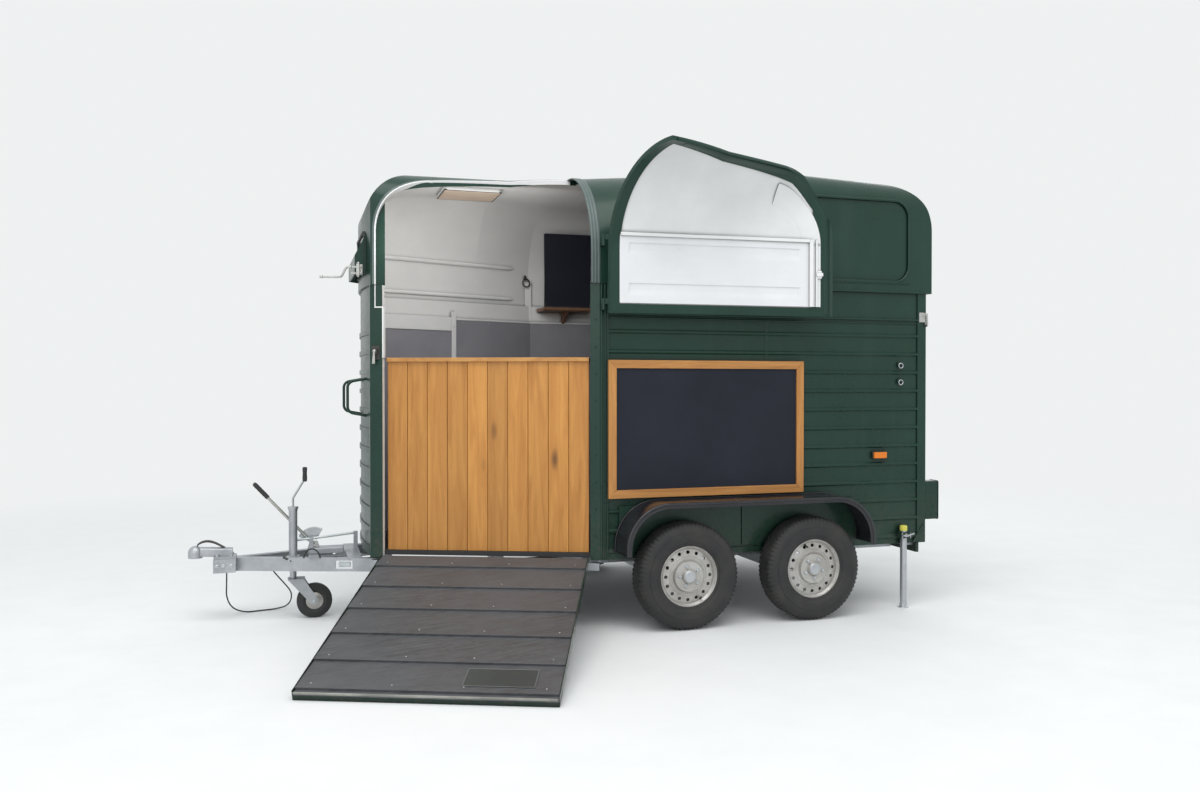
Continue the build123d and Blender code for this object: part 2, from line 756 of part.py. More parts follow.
shelf_x0, shelf_x1 = 62, 440
shelf_z = 1880
shelf_depth = 200
shelf_board = 22
board_width = 335
board_height = 515
with BuildPart() as inner_shelf:
    with BuildSketch(Plane.XY.offset(shelf_z)):
        with Locations(((shelf_x0 + shelf_x1) / 2, inner_y - shelf_depth / 2)):
            Rectangle(shelf_x1 - shelf_x0, shelf_depth)
    extrude(amount=shelf_board)
    bracket_drop = 80
    bracket_width = 16
    with BuildSketch(Plane.YZ.offset((shelf_x0 + shelf_x1) / 2 - bracket_width / 2)):
        with BuildLine():
            Polyline((inner_y, shelf_z), (inner_y, shelf_z - bracket_drop),
                     (inner_y - bracket_width, shelf_z - bracket_drop),
                     (inner_y - shelf_depth + shelf_board, shelf_z), close=True)
        make_face()
    extrude(amount=bracket_width)
finish(inner_shelf, "inner_shelf")
lean_angle = 2
board_thickness = 12
board_foot_y = inner_y - shelf_depth + 22
board_foot_z = shelf_z + shelf_board + board_thickness * sin(radians(lean_angle))
lean_plane = Plane(origin=(shelf_x0 + 8, board_foot_y, board_foot_z), x_dir=(1, 0, 0),
                   z_dir=(0, -cos(radians(lean_angle)), -sin(radians(lean_angle))))
with BuildPart() as shelf_sign:
    with BuildSketch(lean_plane):
        with Locations((board_width / 2, board_height / 2)):
            Rectangle(board_width, board_height)
    extrude(amount=board_thickness)
finish(shelf_sign, "shelf_sign")

light_length = 360
light_width = 310
light_height = 22
light_x = -0.48 * taper_length * cos(taper)
light_corner = 40
light_low_z = roof_top_z(light_x, 0, roof_proud - roof_thickness) - light_height
with BuildPart() as ceiling_light:
    with BuildSketch(Plane.XY.offset(light_low_z)):
        with Locations((light_x, 0)):
            RectangleRounded(light_length, light_width, light_corner)
    extrude(amount=2 * light_height)
    add(inner_roof, mode=Mode.INTERSECT)
finish(ceiling_light, "ceiling_light")

# Chassis: rails, and on them the cross members and the sill of the serving opening
rail_top = floor_z - floor_thickness
rail_front_x = -545
sill_inset = wall + 6
sill_low_z = 330
rail_rear_x = rear_x - rear_post_depth
member_z = rail_top - member_height
member_x0 = rail_front_x + rail_width / 2
member_pitch = (rail_rear_x - rail_front_x - rail_width) / (cross_member_count - 1)
front_member_x = front_x + 90
front_member_width = 50
# Members: X, width along X
members = [(member_x0 + index * member_pitch, rail_width) for index in range(cross_member_count)]
members.append((front_member_x, front_member_width))
rail_low_z = member_z - rail_height
with BuildPart() as chassis_frame:
    with BuildSketch(Plane.XY.offset(rail_low_z)):
        for side in (-1, 1):
            with Locations(((rail_front_x + rail_rear_x) / 2, side * rail_y)):
                Rectangle(rail_rear_x - rail_front_x, rail_width)
    extrude(amount=rail_height)
finish(chassis_frame, "chassis_frame")
with BuildPart() as chassis_members:
    with BuildSketch(Plane.XY.offset(member_z)):
        for x, width in members:
            with Locations((x, 0)):
                Rectangle(width, 2 * half_inside(x - width / 2, sill_inset))
    extrude(amount=member_height)
    with BuildSketch(wall_plane(near_post, near_out)):
        with Locations(((sill_out - sill_inset) / 2, sill_low_z + sill_depth / 2)):
            Rectangle(sill_out + sill_inset, sill_depth)
    extrude(amount=taper_length)
finish(chassis_members, "chassis_members")

# Axle beams with their stubs, and trailing arms to the rails
arm_width = 40
arm_trail = 90
arm_height = 54
beam_half = wheel_outer_y - tyre_width - arm_width - 45
stub_end_y = wheel_outer_y - 30
beam_seat = 4
beam_z = rail_low_z - axle_tube / 2 - beam_seat
for number, axle_x in (("first", first_axle_x), ("second", second_axle_x)):
    with BuildPart() as axle_beam:
        with BuildSketch(Plane.XZ.offset(-beam_half)):
            with Locations((axle_x - arm_trail, beam_z)):
                Rectangle(axle_tube, axle_tube)
        extrude(amount=2 * beam_half)
        for side in (-1, 1):
            with BuildSketch(Plane.XZ.offset(-side * beam_half)):
                with Locations((axle_x - arm_trail / 2, (beam_z + axle_z) / 2)):
                    SlotCenterToCenter(arm_trail, arm_height)
            extrude(amount=-side * arm_width)
            with BuildSketch(Plane.XZ.offset(-side * (beam_half + arm_width))):
                with Locations((axle_x, axle_z)):
                    Circle(stub_radius)
            extrude(amount=-side * (stub_end_y - beam_half - arm_width))
            with BuildSketch(Plane.XY.offset(beam_z + axle_tube / 2)):
                with Locations((axle_x - arm_trail, side * rail_y)):
                    Rectangle(axle_tube, rail_width)
            extrude(amount=beam_seat)
    finish(axle_beam, f"axle_beam_{number}")

# Wheels: a tyre and a pressed rim with a ring of holes, one pair of pieces for each corner
half = tyre_width / 2
bead = half - bead_inset
bulge = rim_radius + tyre_bulge_z
tread = half - tyre_shoulder
rim_wall = 8
rim_lip = 6
disc_outer = 92
disc_inner = 84
disc_proud = 44
cap_radius = 36
bore_wall = 16
# Rim section, from the inner lip over the outer lip, disc and hub: distance out, radius
rim_section = ((-bead, rim_radius - rim_wall), (-bead, rim_radius), (bead, rim_radius),
               (bead, rim_radius - rim_lip), (bead - 12, rim_radius - 16), (bead - 22, rim_radius - 18),
               (bead - 16, disc_outer), (bead, disc_inner), (bead, disc_proud), (bead + 14, cap_radius),
               (bead + 14, 0), (bead - 22, 0), (bead - 22, stub_radius + bore_wall),
               (-bead + 18, stub_radius + bore_wall), (-bead + 18, hub_radius), (bead - 12, hub_radius),
               (bead - 30, rim_radius - 26), (bead - 40, rim_radius - rim_wall))
for side_name, side in (("near", -1), ("far", 1)):
    for number, axle_x in (("first", first_axle_x), ("second", second_axle_x)):
        centre_y = side * (wheel_outer_y - tyre_width / 2)
        wheel_plane = Plane(origin=(axle_x, centre_y, axle_z), x_dir=(1, 0, 0), z_dir=(0, side, 0))
        wheel_axis = Axis((axle_x, centre_y, axle_z), (0, side, 0))
        section_plane = Plane(origin=(axle_x, centre_y, axle_z), x_dir=(0, side, 0), z_dir=(1, 0, 0))
        radial = section_plane.y_dir.Z
        with BuildPart() as tyre:
            with BuildSketch(section_plane):
                with BuildLine():
                    Line((-bead, radial * rim_radius), (bead, radial * rim_radius))
                    Line((-tread, radial * tyre_radius), (tread, radial * tyre_radius))
                    for way in (-1, 1):
                        Line((way * bead, radial * rim_radius), (way * half, radial * bulge))
                        TangentArc((way * half, radial * bulge), (way * tread, radial * tyre_radius),
                                   tangent=(0, radial))
                make_face()
            revolve(axis=wheel_axis)
        finish(tyre, f"tyre_{side_name}_{number}")
        with BuildPart() as rim:
            with BuildSketch(section_plane):
                with BuildLine():
                    Polyline(*[(out, radial * radius) for out, radius in rim_section], close=True)
                make_face()
            revolve(axis=wheel_axis)
            with BuildSketch(wheel_plane.offset(-half)):
                Circle(stub_radius + stub_clearance)
            extrude(amount=stub_end_y - wheel_outer_y + tyre_width + 1, mode=Mode.SUBTRACT)
            with BuildSketch(wheel_plane):
                with PolarLocations(wheel_hole_circle, wheel_hole_count):
                    Circle(wheel_hole_radius)
            extrude(amount=half, mode=Mode.SUBTRACT)
        finish(rim, f"wheel_rim_{side_name}_{number}")

# Mudguards over both wheels of a side
guard_end_gap = 82
guard_radius = 250
guard_low_z = 430
guard_lip = 26
guard_x0 = first_axle_x - tyre_radius - guard_end_gap
guard_x1 = second_axle_x + tyre_radius + guard_end_gap
guard_spring = guard_top_z - guard_radius


def guard_band(depth):
    """Side outline of a mudguard: an arch over both wheels, as a band of a given depth."""
    with BuildSketch() as band:
        with BuildLine():
            for side_x, inward in ((guard_x0, 1), (guard_x1, -1)):
                arch_x = side_x + inward * guard_radius
                inner_x = side_x + inward * depth
                Line((side_x, guard_low_z), (side_x, guard_spring))
                RadiusArc((side_x, guard_spring), (arch_x, guard_top_z), inward * guard_radius)
                RadiusArc((inner_x, guard_spring), (arch_x, guard_top_z - depth),
                          inward * (guard_radius - depth))
                Line((inner_x, guard_spring), (inner_x, guard_low_z))
                Line((inner_x, guard_low_z), (side_x, guard_low_z))
            Line((guard_x0 + guard_radius, guard_top_z), (guard_x1 - guard_radius, guard_top_z))
            Line((guard_x0 + guard_radius, guard_top_z - depth),
                 (guard_x1 - guard_radius, guard_top_z - depth))
        make_face()
    return band.sketch


for side_name, side in (("near", -1), ("far", 1)):
    guard_start = half_width + rib_depth
    with BuildPart() as mudguard:
        with BuildSketch(Plane.XZ.offset(-side * guard_start)):
            add(guard_band(guard_thickness))
        extrude(amount=-side * (guard_end - guard_start))
        with BuildSketch(Plane.XZ.offset(-side * (guard_end - guard_thickness))):
            add(guard_band(guard_lip))
        extrude(amount=-side * guard_thickness)
    finish(mudguard, f"mudguard_{side_name}")

# Drawbar: two channels that meet at the head, with a slot in each web
drawbar_rear_x = rail_front_x
member_end_x = drawbar_front_x + 30
member_run = Vector(member_end_x - drawbar_rear_x, drawbar_rear_y - drawbar_front_y, 0)
member_spare = 80
slot_x = -1340
slot_length = 96
slot_height = 48
head_length = 120
head_half = 88
lever_pivot_x = -1500
brake_plate_x = lever_pivot_x
brake_plate_length = 60
brake_plate_half = drawbar_front_y + (brake_plate_x - drawbar_front_x) * member_run.Y / -member_run.X
with BuildPart() as drawbar:
    for side in (-1, 1):
        start = Vector(drawbar_rear_x, side * drawbar_rear_y, 0)
        run = Vector(member_run.X, -side * member_run.Y, 0)
        member_out = run.normalized().cross(up) * side
        section = Plane(origin=start - run.normalized() * member_spare, x_dir=member_out,
                        z_dir=run.normalized())
        rise = section.y_dir.Z
        low, high = rise * (drawbar_top_z - drawbar_height), rise * drawbar_top_z
        inner = drawbar_web * rise
        with BuildSketch(section):
            with BuildLine():
                Polyline((0, low), (0, high), (-drawbar_width, high), (-drawbar_width, high - inner),
                         (-drawbar_web, high - inner), (-drawbar_web, low + inner),
                         (-drawbar_width, low + inner), (-drawbar_width, low), close=True)
            make_face()
        extrude(amount=run.length + 1.5 * member_spare)
        slot_share = (slot_x - drawbar_rear_x) / run.X
        slot_middle = start + run * slot_share + up * (drawbar_top_z - drawbar_height / 2)
        with BuildSketch(Plane(origin=slot_middle, x_dir=run.normalized(), z_dir=member_out)):
            Rectangle(slot_length, slot_height)
        extrude(amount=2 * drawbar_web, both=True, mode=Mode.SUBTRACT)
    with BuildSketch(Plane.XY):
        with Locations(((drawbar_rear_x + drawbar_front_x) / 2, 0)):
            Rectangle(drawbar_rear_x - drawbar_front_x, 2 * half_width)
    extrude(amount=2 * drawbar_top_z, mode=Mode.INTERSECT)
    with BuildSketch(Plane.XY.offset(drawbar_top_z - drawbar_height)):
        with Locations((drawbar_front_x - head_length / 2, 0)):
            Rectangle(head_length, 2 * head_half)
    extrude(amount=drawbar_height)
    with BuildSketch(Plane.XY.offset(drawbar_top_z - drawbar_web)):
        with Locations((brake_plate_x, 0)):
            Rectangle(brake_plate_length, 2 * brake_plate_half)
    extrude(amount=drawbar_web)
finish(drawbar, "drawbar")

# Coupling head with its ball socket
socket_radius = ball_radius + ball_clearance
cup_drop = 30
coupling_flange = 12
coupling_flange_width = 110
coupling_corner = 10
# Neck sections: X, middle height, width, height
neck_sections = ((drawbar_front_x - 20, drawbar_top_z + 28, 74, 48),
                 (coupling_ball_x + 28, coupling_ball_z + 4, 62, 50))
with BuildPart() as coupling_head:
    with BuildSketch(Plane.XY.offset(drawbar_top_z)):
        with Locations((drawbar_front_x - head_length / 2, 0)):
            Rectangle(head_length, coupling_flange_width)
    extrude(amount=coupling_flange)
    for x, middle_z, width, height in neck_sections:
        with BuildSketch(Plane.YZ.offset(x)):
            with Locations((0, middle_z)):
                RectangleRounded(width, height, coupling_corner)
    loft()
    with Locations((coupling_ball_x, 0, coupling_ball_z)):
        Sphere(cup_radius)
    with BuildSketch(Plane.XY.offset(coupling_ball_z - cup_drop)):
        with Locations((coupling_ball_x, 0)):
            Circle(cup_radius)
    extrude(amount=cup_drop)
    with Locations((coupling_ball_x, 0, coupling_ball_z)):
        Sphere(socket_radius, mode=Mode.SUBTRACT)
    with BuildSketch(Plane.XY.offset(coupling_ball_z)):
        with Locations((coupling_ball_x, 0)):
            Circle(socket_radius)
    extrude(amount=-cup_drop - ball_radius, mode=Mode.SUBTRACT)
finish(coupling_head, "coupling_head")

# Jockey wheel: the clamped outer tube, the sliding stem, the fork and the wheel
jockey_top_z = 640
jockey_low_z = 300
jockey_stem_top_z = 570
stem_clearance = 0.4
with BuildPart() as jockey_tube:
    with BuildSketch(Plane.XY.offset(jockey_low_z)):
        with Locations((jockey_x, jockey_y)):
            Circle(jockey_tube_radius)
            Circle(jockey_stem_radius + stem_clearance, mode=Mode.SUBTRACT)
    extrude(amount=jockey_top_z - jockey_low_z)
finish(jockey_tube, "jockey_tube")
stem_low_z = 236
with BuildPart() as jockey_stem:
    with BuildSketch(Plane.XY.offset(stem_low_z)):
        with Locations((jockey_x, jockey_y)):
            Circle(jockey_stem_radius)
    extrude(amount=jockey_stem_top_z - stem_low_z)
finish(jockey_stem, "jockey_stem")

# Cap and crank on top of the jockey tube
crank_cap_height = 12
crank_radius = 6
crank_foot_z = jockey_top_z + crank_cap_height
crank_throw = 66
crank_bend = 24
crank_path = ((jockey_x, crank_foot_z), (jockey_x, crank_foot_z + 50),
              (jockey_x + crank_throw, crank_foot_z + 160), (jockey_x + crank_throw, crank_foot_z + 228))
with BuildPart() as jockey_crank:
    with BuildSketch(Plane.XY.offset(jockey_top_z)):
        with Locations((jockey_x, jockey_y)):
            Circle(jockey_tube_radius + crank_radius)
    extrude(amount=crank_cap_height)
    with BuildLine(Plane.XZ.offset(-jockey_y)) as crank_line:
        FilletPolyline(*crank_path, radius=crank_bend)
    with BuildSketch(Plane(origin=crank_line.line @ 0, z_dir=crank_line.line % 0)):
        Circle(crank_radius)
    sweep(path=crank_line.line)
finish(jockey_crank, "jockey_crank")

fork_plate = 6
fork_reach = jockey_wheel_width / 2 + 8
jockey_wheel_x = jockey_x + jockey_trail
jockey_pin_radius = 8
fork_top_z = stem_low_z - body_clearance
fork_side = ((jockey_x - 26, fork_top_z - fork_plate), (jockey_x + 62, fork_top_z - fork_plate),
             (jockey_wheel_x + 18, jockey_wheel_radius + 14), (jockey_wheel_x + 18, jockey_wheel_radius - 16),
             (jockey_wheel_x - 16, jockey_wheel_radius - 16))
with BuildPart() as jockey_fork:
    with BuildSketch(Plane.XY.offset(fork_top_z - fork_plate)):
        with Locations((jockey_x + 18, jockey_y)):
            RectangleRounded(96, 2 * (fork_reach + fork_plate), 12)
    extrude(amount=fork_plate)
    for side in (-1, 1):
        with BuildSketch(Plane.XZ.offset(-jockey_y - side * fork_reach)):
            with BuildLine():
                Polyline(*fork_side, close=True)
            make_face()
        extrude(amount=-side * fork_plate)
    with BuildSketch(Plane.XZ.offset(-jockey_y - fork_reach)):
        with Locations((jockey_wheel_x, jockey_wheel_radius)):
            Circle(jockey_pin_radius)
    extrude(amount=2 * fork_reach)
finish(jockey_fork, "jockey_fork")

jockey_half = jockey_wheel_width / 2
# Outer half of the wheel's section: distance from the middle, radius
jockey_section = ((jockey_half, jockey_pin_radius + stub_clearance), (jockey_half, 30),
                  (jockey_half - 12, 40), (jockey_half - 4, 66), (jockey_half - 14, jockey_wheel_radius))
with BuildPart() as jockey_wheel:
    with BuildSketch(Plane.YZ.offset(jockey_wheel_x)):
        with BuildLine():
            Polyline(*[(jockey_y + out, jockey_wheel_radius + radius) for out, radius in jockey_section],
                     *[(jockey_y - out, jockey_wheel_radius + radius) for out, radius in reversed(jockey_section)],
                     close=True)
        make_face()
    revolve(axis=Axis((jockey_wheel_x, jockey_y, jockey_wheel_radius), (0, 1, 0)))
finish(jockey_wheel, "jockey_wheel")

# Clamp that holds the jockey tube to the drawbar member
clamp_length = 64
clamp_wall = 12
member_slope = degrees(atan(member_run.Y / -member_run.X))
member_face_y = drawbar_rear_y + (jockey_x - drawbar_rear_x) * member_run.Y / -member_run.X
flange_gap = (member_face_y + jockey_y) * cos(radians(member_slope)) - drawbar_width
with BuildPart() as jockey_clamp:
    with BuildSketch(Plane.XY.offset(drawbar_top_z - drawbar_height)):
        with Locations(Location((jockey_x, jockey_y, 0), -member_slope)):
            with Locations((0, (jockey_tube_radius + clamp_wall - flange_gap) / 2)):
                Rectangle(clamp_length, jockey_tube_radius + clamp_wall + flange_gap)
        with Locations((jockey_x, jockey_y)):
            Circle(jockey_tube_radius, mode=Mode.SUBTRACT)
    extrude(amount=drawbar_height)
finish(jockey_clamp, "jockey_clamp")

# Handbrake lever on its bracket, raised as the trailer parks
lever_angle = 48
lever_length = 500
lever_radius = 9
lever_pivot_rise = 50
# Bracket outline: distance from the pivot along X, height over the drawbar
lever_bracket = ((-45, 0), (45, 0), (22, 72), (-22, 72))
with BuildPart() as handbrake_lever:
    with BuildSketch(Plane.XZ):
        with BuildLine():
            Polyline(*[(lever_pivot_x + x, drawbar_top_z + z) for x, z in lever_bracket], close=True)
        make_face()
    extrude(amount=4, both=True)
    lever_tip = (lever_pivot_x - lever_length * cos(radians(lever_angle)),
                 drawbar_top_z + lever_pivot_rise + lever_length * sin(radians(lever_angle)))
    with BuildLine(Plane.XZ) as lever_line:
        Line((lever_pivot_x, drawbar_top_z + lever_pivot_rise), lever_tip)
    with BuildSketch(Plane(origin=lever_line.line @ 0, z_dir=lever_line.line % 0)):
        Circle(lever_radius)
    sweep(path=lever_line.line)
finish(handbrake_lever, "handbrake_lever")

# Fittings of the electric lead: its gland on the far member and the plug's holder on the head
far_run = Vector(member_run.X, -member_run.Y, 0).normalized()
far_member_out = far_run.cross(up)
gland_y = drawbar_rear_y + (gland_x - drawbar_rear_x) * member_run.Y / -member_run.X
gland_foot = Vector(gland_x, gland_y, gland_z)
holder_radius = 29
holder_height = 34
holder_roof = 5
holder_web = 16
holder_reach = 9
plug_clearance = 0.3
plug_y = head_half + holder_reach + holder_radius
plug_top_z = drawbar_top_z - holder_roof - 12
with BuildPart() as lead_fittings:
    gland_plane = Plane(origin=gland_foot, x_dir=up, z_dir=far_member_out)
    with BuildSketch(gland_plane):
        RegularPolygon(gland_nut_radius, 6)
    extrude(amount=gland_nut)
    with BuildSketch(gland_plane):
        Circle(gland_nut_radius - 2)
    extrude(amount=gland_length, taper=gland_taper)
    with BuildSketch(Plane.XY.offset(plug_top_z + holder_roof - holder_height)):
        with Locations((plug_x, plug_y)):
            Circle(holder_radius)
        with Locations((plug_x, (head_half + plug_y) / 2)):
            Rectangle(holder_web, plug_y - head_half)
    extrude(amount=holder_height)
    with BuildSketch(Plane.XY.offset(plug_top_z)):
        with Locations((plug_x, plug_y)):
            Circle(plug_radius + plug_clearance)
    extrude(amount=-holder_height, mode=Mode.SUBTRACT)
finish(lead_fittings, "lead_fittings")

# Plug parked in the holder, its section as distance from its axis and drop below its front
plug_neck = 13
plug_section = ((0, 0), (plug_radius, 0), (plug_radius, plug_length / 2), (plug_neck, plug_length - 24),
                (2 * lead_radius, plug_length), (0, plug_length))
with BuildPart() as lead_plug:
    with BuildSketch(Plane.XZ.offset(-plug_y)):
        with BuildLine():
            Polyline(*[(plug_x + out, plug_top_z - drop) for out, drop in plug_section], close=True)
        make_face()
    revolve(axis=Axis((plug_x, plug_y, 0), (0, 0, 1)))
finish(lead_plug, "lead_plug")

# The lead: it leaves the gland, hangs to the ground, lies on it and rises to the plug
lead_share = 0.45
lead_start = 54
lead_points = [gland_foot + far_member_out * gland_length,
               gland_foot + far_member_out * (gland_length + lead_start), Vector(-1762, 212, 283),
               Vector(-1724, 210, 222), Vector(-1668, 202, 158), Vector(-1619, 203, 92),
               Vector(-1642, 206, 20),
               Vector(-1718, 203, lead_radius + 0.2), Vector(-1805, 188, lead_radius + 0.2),
               Vector(-1893, 163, lead_radius + 0.2), Vector(-1964, 138, 40), Vector(-1994, 128, 112),
               Vector(plug_x, plug_y, 190), Vector(plug_x, plug_y, plug_top_z - plug_length)]
lead_radii = []
for before, point, after in zip(lead_points, lead_points[1:], lead_points[2:]):
    turn = radians((point - before).get_angle(after - point))
    shorter_run = min((point - before).length, (after - point).length)
    lead_radii.append(lead_share * shorter_run / tan(turn / 2))
print("lead radii:", [round(radius) for radius in lead_radii])
with BuildPart() as electric_lead:
    with BuildLine() as lead_line:
        FilletPolyline(*lead_points, radius=lead_radii)
    with BuildSketch(Plane(origin=lead_line.line @ 0, z_dir=lead_line.line % 0)):
        Circle(lead_radius)
    sweep(path=lead_line.line)
finish(electric_lead, "electric_lead")

# Rear ramp, closed
rear_ramp_x = rear_x - rear_ramp_inset
rear_hinge_x = rear_x + 10
rear_hinge_z = rear_ramp_low_z - knuckle_radius
rear_hinge_y = 520
rear_leaf_sink = 4
rear_ramp_leaf = ((-rear_leaf_sink, 0), (leaf_thickness, 0), (leaf_thickness, leaf_reach),
                  (-rear_leaf_sink, leaf_reach))
rear_sill_reach = rear_hinge_x - (rear_x - rear_post_depth + rear_sill_thickness)
rear_sill_leaf = ((-rear_sill_reach, -knuckle_radius), (0, -knuckle_radius),
                  (0, leaf_thickness / 2 - knuckle_radius + pin_radius),
                  (-rear_sill_reach, leaf_thickness / 2 - knuckle_radius + pin_radius))
rear_ramp_planes = [Plane(origin=(rear_hinge_x, y, rear_hinge_z), x_dir=(1, 0, 0), z_dir=(0, -1, 0))
                    for y in (-rear_hinge_y, 0, rear_hinge_y)]
with BuildPart() as rear_ramp:
    with BuildSketch(Plane.YZ.offset(rear_ramp_x)):
        with Locations((0, (rear_ramp_low_z + rear_ramp_top_z) / 2)):
            Rectangle(2 * (doorway_half - rear_gap), rear_ramp_top_z - rear_ramp_low_z)
    extrude(amount=rear_ramp_thickness)
    for index in range(slat_count):
        with BuildSketch(Plane.YZ.offset(rear_ramp_x - slat_height)):
            with Locations((0, rear_ramp_low_z + slat_first + index * slat_pitch)):
                Rectangle(2 * (doorway_half - rear_gap - 40), slat_width)
        extrude(amount=slat_height)
    for place in rear_ramp_planes:
        add(hinge_half(place, False, rear_ramp_leaf))
finish(rear_ramp, "rear_ramp")

# Rear top doors, closed
rear_door_x = rear_x + 6
door_pin_x = roof_rear_x + knuckle_radius + body_clearance
rear_door_heights = (1985, 2215)
rear_door_low_z = rear_ramp_top_z + 10
rear_door_width = doorway_half - 1.5 * rear_gap
door_face_y = rear_door_x + rear_door_thickness - door_pin_x
rear_door_sink = 2
rear_door_leaf = ((0, -knuckle_radius), (rear_gap, door_face_y - rear_door_sink),
                  (leaf_reach, door_face_y - rear_door_sink), (leaf_reach, door_face_y + leaf_thickness),
                  (0, door_face_y + leaf_thickness))
roof_leaf_y = roof_rear_x - door_pin_x
roof_leaf_reach = 50
rear_roof_leaf = ((0, roof_leaf_y), (-roof_leaf_reach, roof_leaf_y),
                  (-roof_leaf_reach, roof_leaf_y + leaf_thickness), (0, roof_leaf_y + leaf_thickness))


def rear_door_planes(side):
    """Planes of a rear door's hinges: x runs towards the middle of the doorway, y rearwards."""
    return [Plane(origin=(door_pin_x, side * doorway_half, height), x_dir=(0, -side, 0), z_dir=(0, 0, side))
            for height in rear_door_heights]


for side_name, side in (("near", -1), ("far", 1)):
    with BuildPart() as rear_door:
        with BuildSketch(Plane.YZ.offset(rear_door_x)):
            with Locations((side * (rear_gap / 2 + rear_door_width / 2), (rear_door_top_z + rear_door_low_z) / 2)):
                Rectangle(rear_door_width, rear_door_top_z - rear_door_low_z)
        extrude(amount=rear_door_thickness)
        outer_top = rear_door.edges().filter_by(Axis.X).group_by(Axis.Z)[-1].sort_by(Axis.Y)
        fillet(outer_top[0] if side < 0 else outer_top[-1], doorway_corner - rear_gap)
        for place in rear_door_planes(side):
            add(hinge_half(place, False, rear_door_leaf))
    finish(rear_door, f"rear_door_{side_name}")
with BuildPart() as rear_hinges:
    for place in rear_ramp_planes:
        add(hinge_half(place, True, rear_sill_leaf))
    for place in rear_door_planes(-1) + rear_door_planes(1):
        add(hinge_half(place, True, rear_roof_leaf))
finish(rear_hinges, "rear_hinges")

# Prop stands: a tube in a clamp on each side near the rear
clamp_low = 425
clamp_height = 36
clamp_width = 62
clamp_rim = 6
stand_clearance = 0.4
clamp_start = half_width + rib_depth
clamp_end = stand_y + stand_tube_radius + clamp_rim
for side_name, side in (("near", -1), ("far", 1)):
    with BuildPart() as stand:
        with BuildSketch(Plane.XY):
            with Locations((stand_x, side * stand_y)):
                Circle(stand_tube_radius)
        extrude(amount=stand_length)
    finish(stand, f"prop_stand_{side_name}")
with BuildPart() as stand_clamps:
    for side in (-1, 1):
        with BuildSketch(Plane.XY.offset(clamp_low)):
            with Locations((stand_x, side * (clamp_start + clamp_end) / 2)):
                Rectangle(clamp_width, clamp_end - clamp_start)
            with Locations((stand_x, side * stand_y)):
                Circle(stand_tube_radius + stand_clearance, mode=Mode.SUBTRACT)
        extrude(amount=clamp_height)
finish(stand_clamps, "stand_clamps")

# Rear lamp boxes on the corner posts, side lamps on the walls
lamp_box_inset = 6
lamp_box_corner = 8
lamp_taper = 8
with BuildPart() as lamp_boxes:
    for side in (-1, 1):
        with BuildSketch(Plane.YZ.offset(rear_x)):
            with Locations((side * (half_width + post_proud - lamp_box_width / 2 - lamp_box_inset),
                            (lamp_box_z0 + lamp_box_z1) / 2)):
                RectangleRounded(lamp_box_width, lamp_box_z1 - lamp_box_z0, lamp_box_corner)
        extrude(amount=lamp_box_depth)
        with BuildSketch(Plane.XZ.offset(-side * half_width)):
            with Locations((side_lamp_x, side_lamp_z)):
                RectangleRounded(side_lamp_length, side_lamp_height, lamp_box_corner)
        extrude(amount=-side * (side_lamp_depth + rib_depth), taper=lamp_taper)
    for wall_ribs in (side_wall_near, side_wall_far):
        add(wall_ribs.part, mode=Mode.SUBTRACT)
finish(lamp_boxes, "lamp_boxes")

# Bars on the front panel, bent as a wide U
bar_low_z = 1180
bar_top_z = 1395
bar_reach = 108
bar_slope = 20
bar_y = 200
bar_radius = 8
bar_root_x = front_x - 12
bar_path = ((bar_root_x, bar_top_z), (bar_root_x - bar_reach, bar_top_z - bar_slope),
            (bar_root_x - bar_reach, bar_low_z + bar_slope), (bar_root_x, bar_low_z))
with BuildPart() as front_bars:
    for side in (-1, 1):
        with BuildLine(Plane.XZ.offset(-side * bar_y)) as bar_line:
            FilletPolyline(*bar_path, radius=40)
        with BuildSketch(Plane(origin=bar_line.line @ 0, z_dir=bar_line.line % 0)):
            Circle(bar_radius)
        sweep(path=bar_line.line)
    add(front_panel.part, mode=Mode.SUBTRACT)
finish(front_bars, "front_bars")
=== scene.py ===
import math
import random

import bmesh
import bpy
from mathutils import Matrix, Vector


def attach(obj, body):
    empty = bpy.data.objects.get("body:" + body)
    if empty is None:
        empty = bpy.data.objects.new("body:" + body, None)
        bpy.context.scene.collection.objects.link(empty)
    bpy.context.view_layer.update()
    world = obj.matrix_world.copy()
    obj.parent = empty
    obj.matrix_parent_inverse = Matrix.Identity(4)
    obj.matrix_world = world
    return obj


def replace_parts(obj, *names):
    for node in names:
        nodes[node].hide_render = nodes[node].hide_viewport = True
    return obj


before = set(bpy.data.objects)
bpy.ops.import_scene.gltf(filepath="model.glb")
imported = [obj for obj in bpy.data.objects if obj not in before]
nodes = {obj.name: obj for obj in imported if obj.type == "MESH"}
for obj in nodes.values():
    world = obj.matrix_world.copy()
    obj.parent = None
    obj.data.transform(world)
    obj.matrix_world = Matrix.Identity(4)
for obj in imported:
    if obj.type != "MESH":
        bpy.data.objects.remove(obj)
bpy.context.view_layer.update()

# The trailer's own layout, in metres: X = 0 at the bend, Y = 0 on the centre line, Z = 0 on the
# ground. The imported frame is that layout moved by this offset.
OFFSET = Vector((-0.0115, 0.500383, 0.0))
TAPER = math.radians(22.4)
TAPER_LENGTH = 1.293
HALF_WIDTH = 0.856
FRONT_X = -TAPER_LENGTH * math.cos(TAPER)
NEAR_OUT = Vector((-math.sin(TAPER), -math.cos(TAPER), 0.0))
NEAR_ALONG = Vector((-math.cos(TAPER), math.sin(TAPER), 0.0))
FAR_OUT = Vector((-math.sin(TAPER), math.cos(TAPER), 0.0))
FAR_ALONG = Vector((-math.cos(TAPER), -math.sin(TAPER), 0.0))
